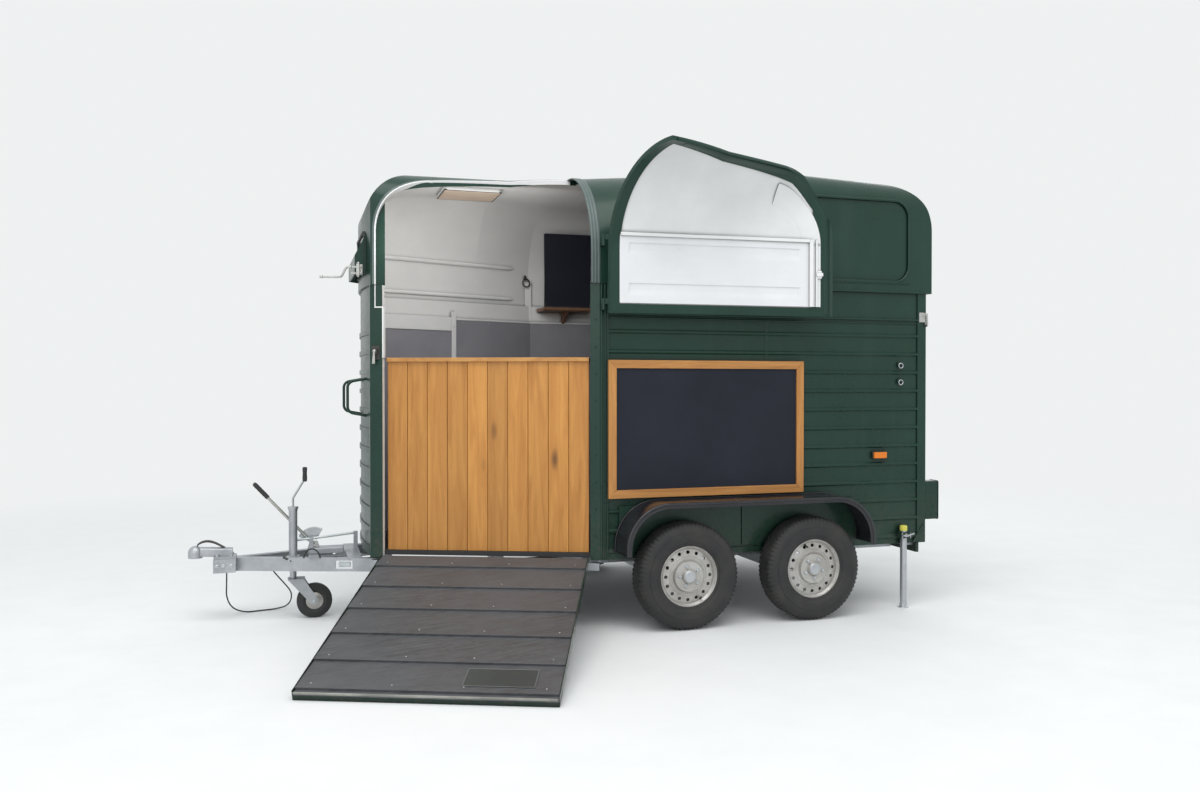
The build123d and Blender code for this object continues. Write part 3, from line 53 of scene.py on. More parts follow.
X = Vector((1.0, 0.0, 0.0))
Y = Vector((0.0, 1.0, 0.0))
UP = Vector((0.0, 0.0, 1.0))
DOOR_HINGE = Vector((0.002, -0.925, 0.0))
DOOR_ANGLE = math.radians(199.5)
RAMP_LENGTH = 1.35
RAMP_DROP = math.asin(0.375 / RAMP_LENGTH)
RAMP_HINGE = Vector((0.0, -HALF_WIDTH, 0.375)) + NEAR_OUT * 0.022 + NEAR_ALONG * 0.06
RAMP_ALONG = NEAR_OUT * math.cos(RAMP_DROP) - UP * math.sin(RAMP_DROP)
RAMP_UP = NEAR_OUT * math.sin(RAMP_DROP) + UP * math.cos(RAMP_DROP)
AXLE_XS = (0.47, 1.248)
TYRE_RADIUS = 0.298
TYRE_WIDTH = 0.165
WHEEL_OUTER_Y = 1.04
SIDES = (("near", -1), ("far", 1))
FLOOR_TOP = 0.421


def at(x, y, z):
    """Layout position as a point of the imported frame."""
    return Vector((x, y, z)) + OFFSET


def near_wall(along, out, z):
    """Point on the near tapered wall: distance forward of the bend, distance out, height."""
    return Vector((0.0, -HALF_WIDTH, z)) + NEAR_ALONG * along + NEAR_OUT * out + OFFSET


def far_wall(along, out, z):
    """Point on the far tapered wall, as for the near one."""
    return Vector((0.0, HALF_WIDTH, z)) + FAR_ALONG * along + FAR_OUT * out + OFFSET


def on_ramp(along, down, rise):
    """Point of the lowered ramp: along its hinge, down its slope, above its underside."""
    return RAMP_HINGE + NEAR_ALONG * along + RAMP_ALONG * down + RAMP_UP * rise + OFFSET


def mm(*numbers):
    """Millimetres as a list of pairs in metres."""
    return [(along / 1000, radius / 1000) for along, radius in zip(numbers[::2], numbers[1::2])]


def around(angle):
    """Direction at an angle in the upright plane along the trailer."""
    return Vector((math.cos(angle), 0.0, math.sin(angle)))


# Camera, as the photograph's
FOCAL_PIXELS, PICTURE_PIXELS, SENSOR = 977.58, 1200.0, 36.0
CAMERA_PITCH, CAMERA_YAW = -0.0112, -0.3084
camera_data = bpy.data.cameras.new("camera")
camera_data.sensor_width = SENSOR
camera_data.lens = SENSOR * FOCAL_PIXELS / PICTURE_PIXELS
camera = bpy.data.objects.new("camera", camera_data)
bpy.context.scene.collection.objects.link(camera)
camera.location = at(-1.6393, -6.011, 1.3575)
camera.rotation_euler = (math.pi / 2 + CAMERA_PITCH, 0.0, CAMERA_YAW)
bpy.context.scene.camera = camera


class Shader:
    """A procedural material in the making, with the node chains that the materials share."""

    def __init__(self, name, **inputs):
        self.material = bpy.data.materials.new(name)
        self.material.use_nodes = True
        self.tree = self.material.node_tree
        self.tree.nodes.clear()
        self.surface = self.node("ShaderNodeBsdfPrincipled")
        self.output = self.node("ShaderNodeOutputMaterial")
        self.link(self.surface.outputs[0], self.output.inputs[0])
        self.position = self.node("ShaderNodeTexCoord").outputs["Object"]
        for socket, value in inputs.items():
            self.set(socket, value)

    def node(self, kind, **settings):
        made = self.tree.nodes.new(kind)
        for name, value in settings.items():
            setattr(made, name, value)
        return made

    def link(self, source, target):
        self.tree.links.new(source, target)

    def feed(self, socket, value):
        if isinstance(value, bpy.types.NodeSocket):
            self.link(value, socket)
        elif isinstance(value, (tuple, list)) and len(value) == 3 and socket.type == "RGBA":
            socket.default_value = (*value, 1.0)
        else:
            socket.default_value = value

    def set(self, socket, value):
        self.feed(self.surface.inputs[socket], value)

    def stretched(self, x, y, z, source=None, turn=0.0):
        mapping = self.node("ShaderNodeMapping")
        self.feed(mapping.inputs["Vector"], source or self.position)
        mapping.inputs["Scale"].default_value = (x, y, z)
        mapping.inputs["Rotation"].default_value = (0.0, 0.0, turn)
        return mapping.outputs[0]

    def noise(self, scale, detail=4.0, rough=0.55, source=None, distortion=0.0):
        made = self.node("ShaderNodeTexNoise")
        self.feed(made.inputs["Vector"], source or self.position)
        made.inputs["Scale"].default_value = scale
        made.inputs["Detail"].default_value = detail
        made.inputs["Roughness"].default_value = rough
        made.inputs["Distortion"].default_value = distortion
        return made.outputs[0]

    def ramp(self, value, low, high, start=0.0, end=1.0):
        made = self.node("ShaderNodeMapRange")
        self.feed(made.inputs[0], value)
        for index, number in enumerate((low, high, start, end)):
            made.inputs[index + 1].default_value = number
        return made.outputs[0]

    def mix(self, factor, first, second, blend="MIX"):
        made = self.node("ShaderNodeMix", data_type="RGBA", blend_type=blend)
        self.feed(made.inputs[0], factor)
        self.feed(made.inputs[6], first)
        self.feed(made.inputs[7], second)
        return made.outputs[2]

    def maths(self, operation, first, second):
        made = self.node("ShaderNodeMath", operation=operation)
        for socket, value in zip(made.inputs, (first, second)):
            self.feed(socket, value)
        return made.outputs[0]

    def times(self, first, second):
        return self.maths("MULTIPLY", first, second)

    def split(self, source=None):
        made = self.node("ShaderNodeSeparateXYZ")
        self.feed(made.inputs[0], source or self.position)
        return made.outputs

    def joined(self, x, y, z):
        made = self.node("ShaderNodeCombineXYZ")
        for socket, value in zip(made.inputs, (x, y, z)):
            self.feed(socket, value)
        return made.outputs[0]

    def attribute(self, name):
        return self.node("ShaderNodeAttribute", attribute_name=name).outputs["Fac"]

    def painted_crevice_shade(self, reach, most):
        """Painted shade: a factor that grows where surfaces within reach hide a point, darkening creases and
        hollows.
        """
        hidden = self.node("ShaderNodeAmbientOcclusion", samples=6)
        hidden.inputs["Distance"].default_value = reach
        return self.ramp(hidden.outputs["AO"], 0.92, 0.45, 0.0, most)

    def bump(self, *heights):
        """Stacked bumps, each a height with its depth in metres."""
        normal = None
        for height, depth in heights:
            made = self.node("ShaderNodeBump")
            made.inputs["Strength"].default_value = 1.0
            made.inputs["Distance"].default_value = depth
            self.feed(made.inputs["Height"], height)
            if normal is not None:
                self.link(normal, made.inputs["Normal"])
            normal = made.outputs[0]
        self.link(normal, self.surface.inputs["Normal"])

    def finished(self, colour, rough, *heights):
        """The material, once its colour, roughness and bumps are in place."""
        self.set("Base Color", colour)
        self.set("Roughness", rough)
        if heights:
            self.bump(*heights)
        return self.material


GREEN_COAT = {"Specular IOR Level": 0.28, "Coat Weight": 0.12}


def green_paint_nodes(shader):
    """Colour, roughness and bump heights of the dark green paint, with dust and spatter, and painted shade
    in its crevices.
    """
    z = shader.split()[2]
    broad = shader.noise(1.7, 5.0, 0.6)
    fine = shader.noise(38.0, 4.0, 0.6)
    faded = shader.mix(shader.ramp(broad, 0.35, 0.75), (0.0085, 0.035, 0.023), (0.013, 0.047, 0.033))
    streaks = shader.noise(9.0, 6.0, 0.65, shader.stretched(1.0, 1.0, 0.12))
    dusty = shader.times(shader.ramp(streaks, 0.52, 0.82, 0.0, 0.5), 0.6)
    colour = shader.mix(dusty, faded, (0.034, 0.064, 0.05))
    low = shader.times(shader.ramp(z, 0.75, 0.3), shader.ramp(fine, 0.42, 0.72))
    colour = shader.mix(shader.times(low, 0.7), colour, (0.07, 0.062, 0.045))
    specks = shader.ramp(shader.noise(160.0, 2.0, 0.5), 0.7, 0.78)
    colour = shader.mix(shader.times(specks, 0.35), colour, (0.1, 0.12, 0.1))
    # Painted shade: crevices and hollows of the green paint darkened almost to black
    colour = shader.mix(shader.painted_crevice_shade(0.035, 0.75), colour, (0.003, 0.008, 0.006))
    rough = shader.maths("ADD", shader.ramp(broad, 0.3, 0.8, 0.24, 0.4),
        shader.ramp(fine, 0.4, 0.8, 0.0, 0.12))
    return colour, rough, ((shader.noise(420.0, 2.0), 0.00012), (shader.noise(5.0, 3.0), 0.0016))


def make_green():
    shader = Shader("green_paint", **GREEN_COAT, **{"Coat Roughness": 0.1})
    colour, rough, heights = green_paint_nodes(shader)
    return shader.finished(colour, rough, *heights)


def white_paint_nodes(shader, base, shade):
    broad = shader.noise(2.6, 5.0, 0.6)
    brushed = shader.noise(30.0, 5.0, 0.6, shader.stretched(0.16, 0.16, 1.0))
    colour = shader.mix(shader.ramp(broad, 0.35, 0.8), base, shade)
    marks = shader.ramp(shader.noise(55.0, 3.0, 0.7), 0.68, 0.8)
    colour = shader.mix(shader.times(marks, 0.25), colour, (0.32, 0.31, 0.28))
    # Painted shade: crevices and pressed channels of the white paint darkened to grey
    colour = shader.mix(shader.painted_crevice_shade(0.022, 0.85), colour, (0.16, 0.155, 0.15))
    rough = shader.ramp(brushed, 0.3, 0.8, 0.42, 0.66)
    return colour, rough, ((brushed, 0.001), (shader.noise(6.0, 3.0), 0.0022))


def make_white(name, base, shade):
    shader = Shader(name)
    colour, rough, heights = white_paint_nodes(shader, base, shade)
    return shader.finished(colour, rough, *heights)


CORE_FRONT, CORE_REAR, CORE_TOP = -0.45, 1.75, 1.9


def make_body_shell():
    """Green paint on the faces that look away from the body's core, white lining paint on the rest."""
    shader = Shader("body_shell", **GREEN_COAT, **{"Coat Roughness": 0.12})
    green, green_rough, green_heights = green_paint_nodes(shader)
    white, white_rough, _ = white_paint_nodes(shader, (0.8, 0.8, 0.785), (0.72, 0.72, 0.71))
    x, y, z = shader.split()
    normal = shader.split(shader.node("ShaderNodeNewGeometry").outputs["True Normal"])
    centre_x = shader.maths("MINIMUM", shader.maths("MAXIMUM", x, CORE_FRONT), CORE_REAR)
    across_x = shader.times(shader.maths("SUBTRACT", x, centre_x), normal[0])
    across_y = shader.times(shader.maths("SUBTRACT", y, OFFSET.y), normal[1])
    across_z = shader.times(shader.maths("MAXIMUM", shader.maths("SUBTRACT", z, CORE_TOP), 0.0), normal[2])
    outward = shader.maths("ADD", shader.maths("ADD", across_x, across_y), across_z)
    inside = shader.ramp(outward, -0.1, -0.14)
    return shader.finished(shader.mix(inside, green, white),
        shader.maths("ADD", shader.times(inside, shader.maths("SUBTRACT", white_rough, green_rough)),
        green_rough), *green_heights)


def make_wood(name, light, dark, knots, grain_axis="z", gloss=0.32, tint_name=None):
    """Varnished timber: rings along one axis, pores, knots and a shift of tone from board to board."""
    shader = Shader(name)
    squeeze = {"x": (0.07, 1.0, 1.0), "y": (1.0, 0.07, 1.0), "z": (1.0, 1.0, 0.07)}[grain_axis]
    source = shader.position
    if tint_name:
        tint = shader.attribute(tint_name)
        shift = shader.joined(shader.times(tint, 7.3), shader.times(tint, 3.1), shader.times(tint, 5.7))
        moved = shader.node("ShaderNodeVectorMath", operation="ADD")
        shader.feed(moved.inputs[0], source)
        shader.feed(moved.inputs[1], shift)
        source = moved.outputs[0]
    along = shader.stretched(*squeeze, source=source)
    bands = shader.noise(26.0, 6.0, 0.6, along, 0.9)
    pores = shader.noise(240.0, 3.0, 0.6, along)
    knot_cells = shader.node("ShaderNodeTexVoronoi", feature="F1")
    shader.feed(knot_cells.inputs["Vector"], shader.stretched(*[1.0 if s == 1.0 else 0.35 for s in squeeze],
        source=source))
    knot_cells.inputs["Scale"].default_value = 3.4
    knot = shader.ramp(knot_cells.outputs["Distance"], 0.085, 0.02)
    halo = shader.ramp(knot_cells.outputs["Distance"], 0.2, 0.04, 0.0, 0.5)
    colour = shader.mix(shader.ramp(bands, 0.34, 0.7), light, dark)
    colour = shader.mix(halo, colour, dark)
    colour = shader.mix(shader.times(knot, knots), colour, (0.055, 0.022, 0.008))
    colour = shader.mix(shader.ramp(pores, 0.6, 0.85, 0.0, 0.35), colour, tuple(0.45 * c for c in dark))
    if tint_name:
        lift = shader.ramp(tint, 0.0, 1.0, 0.86, 1.1)
        grey = shader.joined(lift, lift, lift)
        colour = shader.mix(1.0, colour, grey, "MULTIPLY")
    return shader.finished(colour, shader.ramp(bands, 0.3, 0.8, gloss, gloss + 0.2), (bands, 0.0006),
        (pores, 0.0003))


def make_ramp_timber():
    """Dark stained ramp boards, worn grey where feet pass, with pale chips and dirt."""
    shader = Shader("ramp_timber")
    tint = shader.attribute("tint")
    turned = shader.stretched(0.09, 1.0, 1.0, turn=TAPER)
    grain = shader.noise(60.0, 6.0, 0.65, turned, 0.4)
    broad = shader.noise(2.2, 4.0, 0.6)
    colour = shader.mix(shader.ramp(grain, 0.32, 0.75), (0.044, 0.046, 0.049), (0.1, 0.104, 0.11))
    colour = shader.mix(shader.ramp(broad, 0.4, 0.7, 0.0, 0.55), colour, (0.105, 0.112, 0.122))
    colour = shader.mix(shader.times(tint, 0.3), colour, (0.074, 0.071, 0.072))
    chips = shader.ramp(shader.noise(90.0, 3.0, 0.6), 0.735, 0.765)
    colour = shader.mix(shader.times(chips, 0.7), colour, (0.3, 0.29, 0.27))
    return shader.finished(colour, shader.ramp(grain, 0.3, 0.8, 0.42, 0.68), (grain, 0.0018),
        (shader.noise(14.0, 3.0), 0.003))


def make_tyre_rubber():
    shader = Shader("tyre_rubber")
    broad = shader.noise(9.0, 4.0, 0.6)
    fine = shader.noise(220.0, 3.0, 0.6)
    dust = shader.ramp(broad, 0.42, 0.75, 0.0, 0.6)
    colour = shader.mix(dust, (0.017, 0.017, 0.018), (0.055, 0.051, 0.045))
    colour = shader.mix(shader.ramp(fine, 0.55, 0.8, 0.0, 0.4), colour, (0.075, 0.07, 0.062))
    return shader.finished(colour, shader.ramp(broad, 0.3, 0.8, 0.58, 0.8), (fine, 0.0003))


def make_metal(name, colour, worn, rough, rust=0.0, metallic=1.0, scale=24.0):
    """Bare or plated metal with stains, fine pitting and optional rust."""
    shader = Shader(name, Metallic=metallic)
    broad = shader.noise(scale * 0.35, 5.0, 0.65)
    fine = shader.noise(scale * 9.0, 3.0, 0.6)
    tone = shader.mix(shader.ramp(broad, 0.35, 0.75), colour, worn)
    if rust:
        patches = shader.ramp(shader.noise(scale, 6.0, 0.7), 0.6, 0.74, 0.0, rust)
        tone = shader.mix(patches, tone, (0.16, 0.065, 0.025))
        shader.set("Metallic", shader.ramp(patches, 0.0, 1.0, metallic, 0.1))
    return shader.finished(tone, shader.ramp(broad, 0.3, 0.8, rough, rough + 0.18), (fine, 0.00015),
        (broad, 0.0008))


def make_plastic(name, colour, worn, rough, depth=0.0002, scale=40.0, **inputs):
    """Moulded plastic, rubber or painted sheet with a fine texture and scuffs."""
    shader = Shader(name, **inputs)
    broad = shader.noise(scale * 0.12, 4.0, 0.6)
    fine = shader.noise(scale * 8.0, 3.0, 0.6)
    scuffs = shader.noise(scale, 5.0, 0.7, shader.stretched(1.0, 0.25, 0.25))
    tone = shader.mix(shader.ramp(broad, 0.35, 0.75), colour, worn)
    tone = shader.mix(shader.ramp(scuffs, 0.66, 0.8, 0.0, 0.35), tone,
        tuple(min(1.0, 1.6 * c + 0.03) for c in worn))
    return shader.finished(tone, shader.ramp(broad, 0.3, 0.8, rough, rough + 0.15), (fine, depth))


GREEN = make_green()
SHELL = make_body_shell()
WHITE = make_white("white_lining", (0.82, 0.82, 0.81), (0.74, 0.74, 0.73))
DOOR_WHITE = make_white("door_white", (0.8, 0.8, 0.79), (0.68, 0.69, 0.69))
KICK_GREY = make_plastic("kick_grey", (0.255, 0.25, 0.275), (0.3, 0.295, 0.32), 0.5)
OAK = make_wood("oak_boards", (0.6, 0.275, 0.06), (0.44, 0.175, 0.03), 0.7, "z", 0.3, "tint")
OAK_LEDGE = make_wood("oak_ledge", (0.58, 0.29, 0.08), (0.42, 0.18, 0.04), 0.3, "x", 0.26)
SIGN_WOOD_X = make_wood("sign_wood_level", (0.58, 0.27, 0.075), (0.38, 0.155, 0.035), 0.8, "x", 0.42,
    "tint")
SIGN_WOOD_Z = make_wood("sign_wood_upright", (0.58, 0.27, 0.075), (0.38, 0.155, 0.035), 0.8, "z", 0.42,
    "tint")
SHELF_WOOD = make_wood("shelf_wood", (0.26, 0.135, 0.075), (0.17, 0.08, 0.042), 0.5, "x", 0.42)
RAMP_TIMBER = make_ramp_timber()
CHALKBOARD = make_plastic("chalkboard", (0.014, 0.016, 0.025), (0.021, 0.024, 0.036), 0.5, 0.0002, 18.0,
    **{"Specular IOR Level": 0.2})
RUBBER = make_plastic("seal_rubber", (0.022, 0.024, 0.024), (0.035, 0.036, 0.034), 0.62)
GUARD_BLACK = make_plastic("guard_black", (0.014, 0.014, 0.018), (0.026, 0.026, 0.03), 0.16)
MAT = make_plastic("floor_mat", (0.03, 0.029, 0.03), (0.05, 0.048, 0.046), 0.7, 0.0008, 30.0)
TYRE_RUBBER = make_tyre_rubber()
WHEEL_SILVER = make_metal("wheel_silver", (0.52, 0.51, 0.49), (0.36, 0.34, 0.31), 0.38, 0.35, 0.7, 30.0)
GALVANISED = make_metal("galvanised", (0.46, 0.48, 0.5), (0.34, 0.36, 0.38), 0.42, 0.15, 0.75, 22.0)
ZINC = make_metal("zinc_tube", (0.52, 0.54, 0.56), (0.4, 0.42, 0.43), 0.34, 0.1, 0.85)
CHROME = make_metal("chrome", (0.56, 0.56, 0.54), (0.36, 0.355, 0.33), 0.22, 0.0, 1.0)
TRIM = make_metal("edge_trim", (0.62, 0.66, 0.66), (0.42, 0.47, 0.47), 0.36, 0.0, 0.3)
CAST = make_metal("cast_black", (0.05, 0.05, 0.05), (0.1, 0.095, 0.09), 0.5, 0.5, 0.6)
AMBER = make_plastic("amber_lens", (0.8, 0.22, 0.01), (0.7, 0.17, 0.01), 0.16, 0.0002, 60.0)
RED = make_plastic("red_lens", (0.42, 0.012, 0.012), (0.34, 0.01, 0.012), 0.16, 0.0002, 60.0)
CLEAR_LENS = make_plastic("clear_lens", (0.62, 0.62, 0.6), (0.5, 0.5, 0.49), 0.14, 0.0002, 60.0)
YELLOW = make_plastic("yellow_cap", (0.72, 0.66, 0.1), (0.58, 0.52, 0.09), 0.45)


def make_glass():
    shader = Shader("window_glass", IOR=1.45, **{"Transmission Weight": 0.85})
    film = shader.noise(7.0, 4.0, 0.6)
    return shader.finished(shader.mix(shader.ramp(film, 0.35, 0.75), (0.8, 0.84, 0.84), (0.66, 0.7, 0.7)),
        shader.ramp(film, 0.3, 0.8, 0.03, 0.12))


GLASS = make_glass()
LIP_WHITE = make_white("lip_white", (0.84, 0.84, 0.83), (0.76, 0.76, 0.75))
DOOR_PANEL = make_white("door_panel_white", (0.8, 0.8, 0.81), (0.72, 0.72, 0.73))
# A lighter, greyer copy of the green paint: painted sheen and highlight on rounded green edges
SHEEN_GREEN = make_plastic("green_painted_sheen", (0.075, 0.108, 0.102), (0.12, 0.155, 0.148), 0.34, 0.0002, 30.0)
PLATE_DARK = make_plastic("plate_dark", (0.03, 0.037, 0.037), (0.046, 0.054, 0.053), 0.5, 0.0002, 22.0)
PLATE_BORDER = make_plastic("plate_border", (0.135, 0.14, 0.135), (0.085, 0.09, 0.088), 0.5, 0.0003, 30.0)
RAMP_TIP = make_plastic("ramp_tip", (0.36, 0.36, 0.32), (0.1, 0.1, 0.09), 0.6, 0.0006, 34.0)
LIGHT_LENS = make_plastic("light_lens", (0.74, 0.57, 0.42), (0.64, 0.48, 0.35), 0.28)

# Slots of the record for a material's pieces, where none is given
SLOTS = {
    GREEN: "painted_green",
    CHROME: "chrome_bar",
    ZINC: "zinc",
    GALVANISED: "zinc",
    GUARD_BLACK: "black_plastic",
    WHEEL_SILVER: "wheel_paint",
}


def carried(piece, material, slot, body):
    """Puts a piece in the scene, riding on a body."""
    bpy.context.scene.collection.objects.link(piece)
    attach(piece, body)
    slot = slot or SLOTS.get(material)
    return piece


def add_object(name, mesh, material, slot=None, body="trailer"):
    """Puts a mesh in the scene as a piece that rides on a body."""
    mesh.materials.append(material)
    return carried(bpy.data.objects.new(name, mesh), material, slot, body)


def mesh_from(name, vertices, faces, smooth=False):
    mesh = bpy.data.meshes.new(name)
    mesh.from_pydata([tuple(v) for v in vertices], [], faces)
    mesh.update()
    if smooth:
        mesh.polygons.foreach_set("use_smooth", [True] * len(mesh.polygons))
    return mesh


BEVEL_ANGLE = math.radians(35.0)


def bevelled(piece, width, segments=2):
    """Rounds a piece's sharp edges, with its faces shaded flat."""
    modifier = piece.modifiers.new("bevel", "BEVEL")
    modifier.width = width
    modifier.segments = segments
    modifier.limit_method = "ANGLE"
    modifier.angle_limit = BEVEL_ANGLE
    piece.data.polygons.foreach_set("use_smooth", [False] * len(piece.data.polygons))
    return piece


class Builder:
    """Collects simple solids into one mesh."""

    def __init__(self):
        self.vertices = []
        self.faces = []
        self.tints = []

    def block(self, corner, x_step, y_step, z_step, tint=0.0):
        """A box from one corner and three edge vectors."""
        start = len(self.vertices)
        for i in (0, 1):
            for j in (0, 1):
                for k in (0, 1):
                    self.vertices.append(corner + x_step * i + y_step * j + z_step * k)
        quads = ((0, 1, 3, 2), (4, 6, 7, 5), (0, 4, 5, 1), (2, 3, 7, 6), (0, 2, 6, 4), (1, 5, 7, 3))
        if x_step.cross(y_step).dot(z_step) < 0:
            quads = tuple(tuple(reversed(q)) for q in quads)
        self.faces += [tuple(start + v for v in q) for q in quads]
        self.tints += [tint] * len(quads)
        return self

    def box(self, x, y, z, width, depth, height):
        return self.block(at(x, y, z), X * width, Y * depth, UP * height)

    def near_box(self, along, out, z, width, depth, height, tint=0.0):
        return self.block(near_wall(along, out, z), NEAR_ALONG * width, NEAR_OUT * depth, UP * height, tint)

    def far_box(self, along, out, z, width, depth, height):
        return self.block(far_wall(along, out, z), FAR_ALONG * width, FAR_OUT * depth, UP * height)

    def prism(self, outline, rise, tint=0.0):
        """A closed outline of points pushed along a vector."""
        start = len(self.vertices)
        count = len(outline)
        self.vertices += list(outline) + [p + rise for p in outline]
        normal = sum(((outline[i] - outline[0]).cross(outline[i + 1] - outline[0])
            for i in range(1, count - 1)), Vector())
        order = list(range(count))
        if normal.dot(rise) > 0:
            order.reverse()
        self.faces.append(tuple(start + i for i in order))
        self.faces.append(tuple(start + count + i for i in reversed(order)))
        for i in range(count):
            a, b = order[i], order[(i + 1) % count]
            self.faces.append((start + b, start + a, start + count + a, start + count + b))
        self.tints += [tint] * (count + 2)
        return self

    def grid(self, start, steps, rows, round_steps=True, round_rows=True):
        """Faces between rows of points that follow one another from a first vertex."""
        for step in range(steps if round_steps else steps - 1):
            following = (step + 1) % steps
            for row in range(rows if round_rows else rows - 1):
                corners = ((step, row), (following, row), (following, (row + 1) % rows),
                    (step, (row + 1) % rows))
                self.faces.append(tuple(start + place * rows + band for place, band in corners))
                self.tints.append(0.0)

    def turned(self, origin, axis, profile, segments=24, closed=False):
        """A profile of (distance along the axis, radius) pairs turned about the axis."""
        axis = axis.normalized()
        side = axis.orthogonal().normalized()
        other = axis.cross(side)
        start = len(self.vertices)
        rows = len(profile)
        for step in range(segments):
            angle = 2 * math.pi * step / segments
            outward = side * math.cos(angle) + other * math.sin(angle)
            for along, radius in profile:
                self.vertices.append(origin + axis * along + outward * radius)
        self.grid(start, segments, rows, True, closed)
        if not closed:
            for row, flip in ((0, True), (rows - 1, False)):
                if profile[row][1] > 1e-6:
                    ring = [start + step * rows + row for step in range(segments)]
                    self.faces.append(tuple(reversed(ring)) if flip else tuple(ring))
                    self.tints.append(0.0)
        return self

    def sweep(self, path, section, normals, sizes=None, closed=False):
        """A closed section of (across, above) pairs carried along a path on a surface."""
        if isinstance(normals, Vector):
            normals = [normals] * len(path)
        sides, ups = framed(path, normals)
        start, rows, count = len(self.vertices), len(section), len(path)
        for index, point in enumerate(path):
            size = sizes[index] if sizes else 1.0
            self.vertices += [point + sides[index] * across * size + ups[index] * above * size
                for across, above in section]
        self.grid(start, count, rows, closed)
        if not closed:
            for first in (start, start + (count - 1) * rows):
                self.faces.append(tuple(first + row for row in range(rows)))
                self.tints.append(0.0)
        return self

    def finish(self, name, material, slot=None, body="trailer", smooth=False):
        mesh = mesh_from(name, self.vertices, self.faces, smooth)
        if any(self.tints):
            layer = mesh.attributes.new("tint", "FLOAT", "FACE")
            layer.data.foreach_set("value", self.tints)
        shape = bmesh.new()
        shape.from_mesh(mesh)
        bmesh.ops.remove_doubles(shape, verts=shape.verts, dist=1e-6)
        bmesh.ops.recalc_face_normals(shape, faces=shape.faces)
        shape.to_mesh(mesh)
        shape.free()
        return add_object(name, mesh, material, slot, body)


def tube(name, points, radius, material, slot=None, body="trailer", smooth_path=False, resolution=4,
        ends=True):
    """A round bar or tube along a path."""
    curve = bpy.data.curves.new(name, "CURVE")
    curve.dimensions = "3D"
    curve.bevel_depth = radius
    curve.bevel_resolution = resolution
    curve.use_fill_caps = ends
    spline = curve.splines.new("NURBS" if smooth_path else "POLY")
    spline.points.add(len(points) - 1)
    for target, point in zip(spline.points, points):
        target.co = (*point, 1.0)
    if smooth_path:
        spline.order_u = 3
        spline.use_endpoint_u = True
        curve.resolution_u = 8
    curve.materials.append(material)
    return carried(bpy.data.objects.new(name, curve), material, slot, body)


DOME = ((0.0, 1.0), (0.35, 0.92), (0.7, 0.62), (0.9, 0.3), (0.95, 0.0))


def rivets(name, places, radius, material, height=0.6, body="trailer"):
    """Domed rivet heads at points with normals, as one piece."""
    heads = Builder()
    for point, normal in places:
        heads.turned(point, normal, [(a * radius * height, r * radius) for a, r in DOME], 10)
    return heads.finish(name, material, None, body, True)


def paint_node(name, material):
    """Gives a CAD node its material."""
    mesh = nodes[name].data
    mesh.materials.clear()
    mesh.materials.append(material)


# CAD nodes and their materials
NODE_MATERIALS = {
    SHELL: "roof_shell side_wall_near side_wall_far front_wall_far front_panel body_posts_near "
        "body_posts_far",
    GREEN: "side_door rear_frame front_hood front_bars ramp_frame door_hinges ramp_hinges rear_hinges "
        "stand_clamps rear_ramp rear_door_near rear_door_far lamp_boxes",
    DOOR_WHITE: "door_lining",
    KICK_GREY: "kick_boards",
    WHITE: "ceiling_light",
    OAK_LEDGE: "counter_ledge counter_panel",
    SIGN_WOOD_X: "sign_frame",
    CHALKBOARD: "sign_board shelf_sign",
    SHELF_WOOD: "inner_shelf",
    RAMP_TIMBER: "ramp_deck",
    MAT: "floor_deck",
    GUARD_BLACK: "mudguard_near mudguard_far",
    GALVANISED: "drawbar coupling_head jockey_clamp jockey_tube jockey_fork chassis_frame "
        "chassis_members axle_beam_first axle_beam_second",
    ZINC: "jockey_stem jockey_crank prop_stand_near prop_stand_far",
    CHROME: "handbrake_lever",
    RUBBER: "jockey_wheel electric_lead lead_fittings lead_plug",
    GLASS: "front_window",
    TYRE_RUBBER: "tyre_near_first tyre_near_second tyre_far_first tyre_far_second",
    WHEEL_SILVER: "wheel_rim_near_first wheel_rim_near_second wheel_rim_far_first wheel_rim_far_second",
}
for material, names in NODE_MATERIALS.items():
    for name in names.split():
        paint_node(name, material)

# Roof form, for the pieces that lie on its skin or in the door's shape
ROOF_STATIONS = ((FRONT_X - 0.16, 0.09, 2.562), (-0.4, 0.48, 2.563), (0.0, 0.48, 2.565), (1.2, 0.17, 2.622),
    (2.309, 0.17, 2.585))
ROOF_OUTSIDE = 0.015
ROOF_INSIDE = -0.015
DOOR_OUTER = 0.042
DOOR_RIM_FACE = 0.02
LINING_FACE = 0.0257
NEAR_SIDE = Vector((0.0, -1.0, 0.0))


def roof_section(x, grow):
    """Half width, shoulder radius and crown height of the grown roof at a station."""
    for start, end in zip(ROOF_STATIONS, ROOF_STATIONS[1:]):
        if x <= end[0]:
            break
    share = (x - start[0]) / (end[0] - start[0])
    radius = start[1] + share * (end[1] - start[1]) + grow
    crown = start[2] + share * (end[2] - start[2]) + grow
    return HALF_WIDTH + min(x, 0.0) * math.tan(TAPER) + grow, radius, crown


def roof_y(x, z, grow):
    """Distance from the centre line to the roof's side or shoulder at a height."""
    half, radius, crown = roof_section(x, grow)
    above = min(max(z - (crown - radius), 0.0), radius)
    return half - radius + math.sqrt(radius ** 2 - above ** 2)


def roof_z(x, y, grow):
    """Height of the roof above a plan point."""
    half, radius, crown = roof_section(x, grow)
    across = min(max(abs(y) - (half - radius), 0.0), radius)
    return crown - radius + math.sqrt(radius ** 2 - across ** 2)


def roof_normal(point):
    """Outward direction of the near half of the roof's skin at a layout point."""
    half, radius, crown = roof_section(point.x, 0.0)
    across = max(abs(point.y) - (half - radius), 0.0)
    above = max(point.z - (crown - radius), 0.0)
    sideways = NEAR_OUT if point.x < 0.0 else NEAR_SIDE
    if above == 0.0:
        return sideways.copy()
    return (sideways * across + UP * above).normalized()


